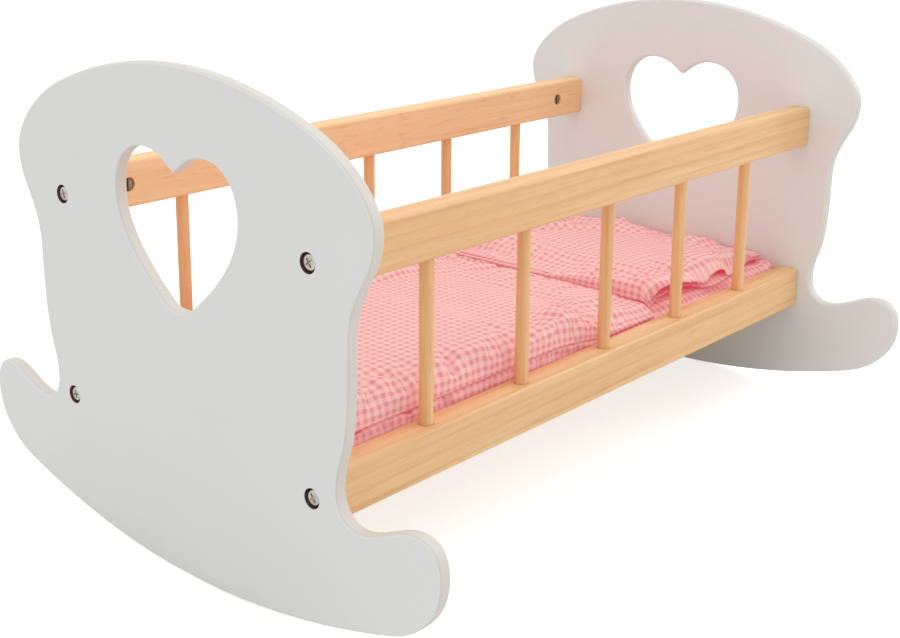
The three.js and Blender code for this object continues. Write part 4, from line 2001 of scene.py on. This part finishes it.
@dataclass
class Studio:
    """The white room: floor, soft lamps, pale world, and the camera of the photograph."""

    image_width: float = 900.0
    focal_pixels: float = 1377.667
    principal_rise_pixels: float = 110.0
    sensor_width: float = 36.0
    nearest: float = 0.01
    place: Place = (-0.6749, -0.5690, 0.3873)
    heading: float = math.radians(41.404)
    pitch: float = math.radians(-14.127)
    roll: float = math.radians(0.444)
    floor_size: float = 14.0
    floor_colour: Colour = paint(238, 238, 238)
    floor_glow: float = 0.62
    world_colour: Colour = (1.0, 1.0, 1.0, 1.0)
    world_strength: float = 0.79
    middle: Place = (0.0, 0.0, 0.12)
    lamps: tuple[Lamp, ...] = (
        Lamp("top", place=(0.1, -0.1, 1.9), size=1.6, watts=11.0),
        Lamp("side", place=(1.8, -1.1, 0.9), size=0.8, watts=7.5),
    )

    def camera(self) -> None:
        """Sets the camera where the photograph was taken from."""
        ahead = Vector((
            math.cos(self.pitch) * math.cos(self.heading),
            math.cos(self.pitch) * math.sin(self.heading),
            math.sin(self.pitch),
        ))
        level = ahead.cross(Vector((0, 0, 1))).normalized()
        upward = level.cross(ahead)
        right = math.cos(self.roll) * level + math.sin(self.roll) * upward
        top = -math.sin(self.roll) * level + math.cos(self.roll) * upward
        lens = bpy.data.cameras.new("camera")
        lens.sensor_fit = "HORIZONTAL"
        lens.sensor_width = self.sensor_width
        lens.lens = self.focal_pixels * self.sensor_width / self.image_width
        lens.shift_y = -self.principal_rise_pixels / self.image_width
        lens.clip_start = self.nearest
        eye = bpy.data.objects.new("camera", lens)
        bpy.context.scene.collection.objects.link(eye)
        turn = Matrix((right, top, -ahead)).transposed().to_4x4()
        eye.matrix_world = Matrix.Translation(self.place) @ turn
        bpy.context.scene.camera = eye

    def floor(self) -> None:
        """Lays a white floor that shows white to the camera and keeps the shadow."""
        bpy.ops.object.select_all(action="DESELECT")
        bpy.ops.mesh.primitive_plane_add(size=self.floor_size)
        ground = settled(bpy.context.object, "floor")
        recipe = Recipe.for_finish("floor")
        matt = recipe.node("ShaderNodeBsdfDiffuse", {}, {"Color": self.floor_colour})
        seen = recipe.node("ShaderNodeLightPath", {}, {}, output="Is Camera Ray")
        glow = recipe.node("ShaderNodeEmission", {}, {"Strength": seen * self.floor_glow})
        both = recipe.node("ShaderNodeAddShader", {}, {0: matt, 1: glow})
        ground.data.materials.append(recipe.closed(both))

    def world(self) -> None:
        """Lights the room from all round, with a full white that only the eye, metal and glass see."""
        world = bpy.data.worlds.new("world")
        recipe = Recipe(world)
        path = recipe.node("ShaderNodeLightPath", {}, {}, output="Is Camera Ray").socket.node
        camera, glossy, through = (
            Signal(recipe, path.outputs[f"Is {kind} Ray"]) for kind in ("Camera", "Glossy", "Transmission")
        )
        seen = (camera + glossy + through).held()
        strength = self.world_strength + (1.0 - self.world_strength) * seen
        inputs = {"Color": self.world_colour, "Strength": strength}
        recipe.closed(recipe.node("ShaderNodeBackground", {}, inputs))
        bpy.context.scene.world = world

    def build(self) -> None:
        """Sets up the whole room."""
        self.camera()
        self.floor()
        self.world()
        for lamp in self.lamps:
            lamp.hung(self.middle)
        bpy.context.scene.view_settings.view_transform = "Standard"


def main() -> None:
    """Builds the room and each sub-assembly in order."""
    logging.basicConfig(level=logging.INFO, format="%(name)s: %(message)s")
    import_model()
    front = Timber(
        early=paint(243, 205, 153), late=paint(212, 152, 92), blush=paint(238, 184, 130),
        ring=0.0065, rings_show=0.8,
    )
    rear = Timber(
        early=paint(250, 212, 162), late=paint(230, 168, 116), blush=paint(246, 200, 148),
        heart=(0.4, 0.16, 0.02), ring=0.005, flecks=replace(Timber.flecks, show=0.8),
    )
    dowel = Timber(
        early=paint(248, 200, 142), late=paint(208, 144, 84), blush=paint(236, 180, 122),
        grain=Grain.ALONG_Z, ring=0.0035,
    )
    bed = MattressTop()
    parts = [
        Studio(),
        EndPanels(
            finish=WhitePaint(),
            # Darker, warmer paint for the sawn edges: partly thinner paint, partly painted shade and warm
            # reflected light
            edge_finish=WhitePaint(colour=paint(220, 216, 208), shade=paint(214, 210, 200)),
            # Dark brown for the bolt seats: unpainted board, made dark to paint the shadow in them
            bore_finish=BoreShadowPaint(),
        ),
        Rails({
            (Side.FRONT, Storey.BOTTOM): replace(front, heart=(0.3, -0.06, 0.16)),
            (Side.FRONT, Storey.TOP): replace(front, heart=(-0.2, -0.14, 0.15)),
            (Side.REAR, Storey.BOTTOM): rear,
            (Side.REAR, Storey.TOP): replace(rear, heart=(-0.1, 0.15, 0.24)),
        }),
        Spindles(dowel),
        Fasteners(
            bolt_finish=Plating(colour=paint(228, 225, 216), dull=paint(168, 163, 152), roughness=0.24),
            nut_finish=Plating(colour=paint(176, 164, 146), dull=paint(120, 108, 92), roughness=0.36),
        ),
        BaseBoard(Veneer()),
        Mattress("mattress", "mattress_cloth", Gingham(), bed, fill=0.8, slack=0.14, step=0.0035),
        Duvet("duvet", "duvet_cloth", Gingham(), bed, fill=0.6, slack=0.16, folds=(
            Fold((-0.168, -0.094), (-0.164, -0.083), height=-0.0022, right_run=0.004, left_run=0.004),
            Fold((-0.088, -0.094), (-0.085, -0.082), height=-0.0024, right_run=0.004, left_run=0.005),
            Fold((-0.004, -0.094), (0.002, -0.080), height=-0.0024, right_run=0.004, left_run=0.004),
        )),
        PillowPad("pillow", "pillow_pad", Gingham(), bed, fill=0.5, slack=0.04),
        Pillow("pillow", "pillow_case", Gingham(), bed, fill=0.5, slack=0.12, step=0.0026, folds=(
            Fold((0.160, 0.066), (0.194, 0.032), height=-0.0055, right_run=0.016, left_run=0.004),
            Fold((0.165, 0.073), (0.199, 0.039), height=0.0035, right_run=0.005, left_run=0.018),
            Fold((0.226, 0.040), (0.240, 0.043), height=0.004, right_run=0.008, left_run=0.008),
            Fold((0.226, -0.040), (0.240, -0.041), height=0.0036, right_run=0.007, left_run=0.007),
            Fold((0.099, -0.060), (0.091, 0.030), height=-0.0018, right_run=0.006, left_run=0.005),
            Fold((0.074, -0.037), (0.088, -0.038), height=-0.002, right_run=0.003, left_run=0.004),
        )),
    ]
    for part in parts:
        part.build()
        LOG.info("%s is done", type(part).__name__)


if __name__ == "__main__":
    main()
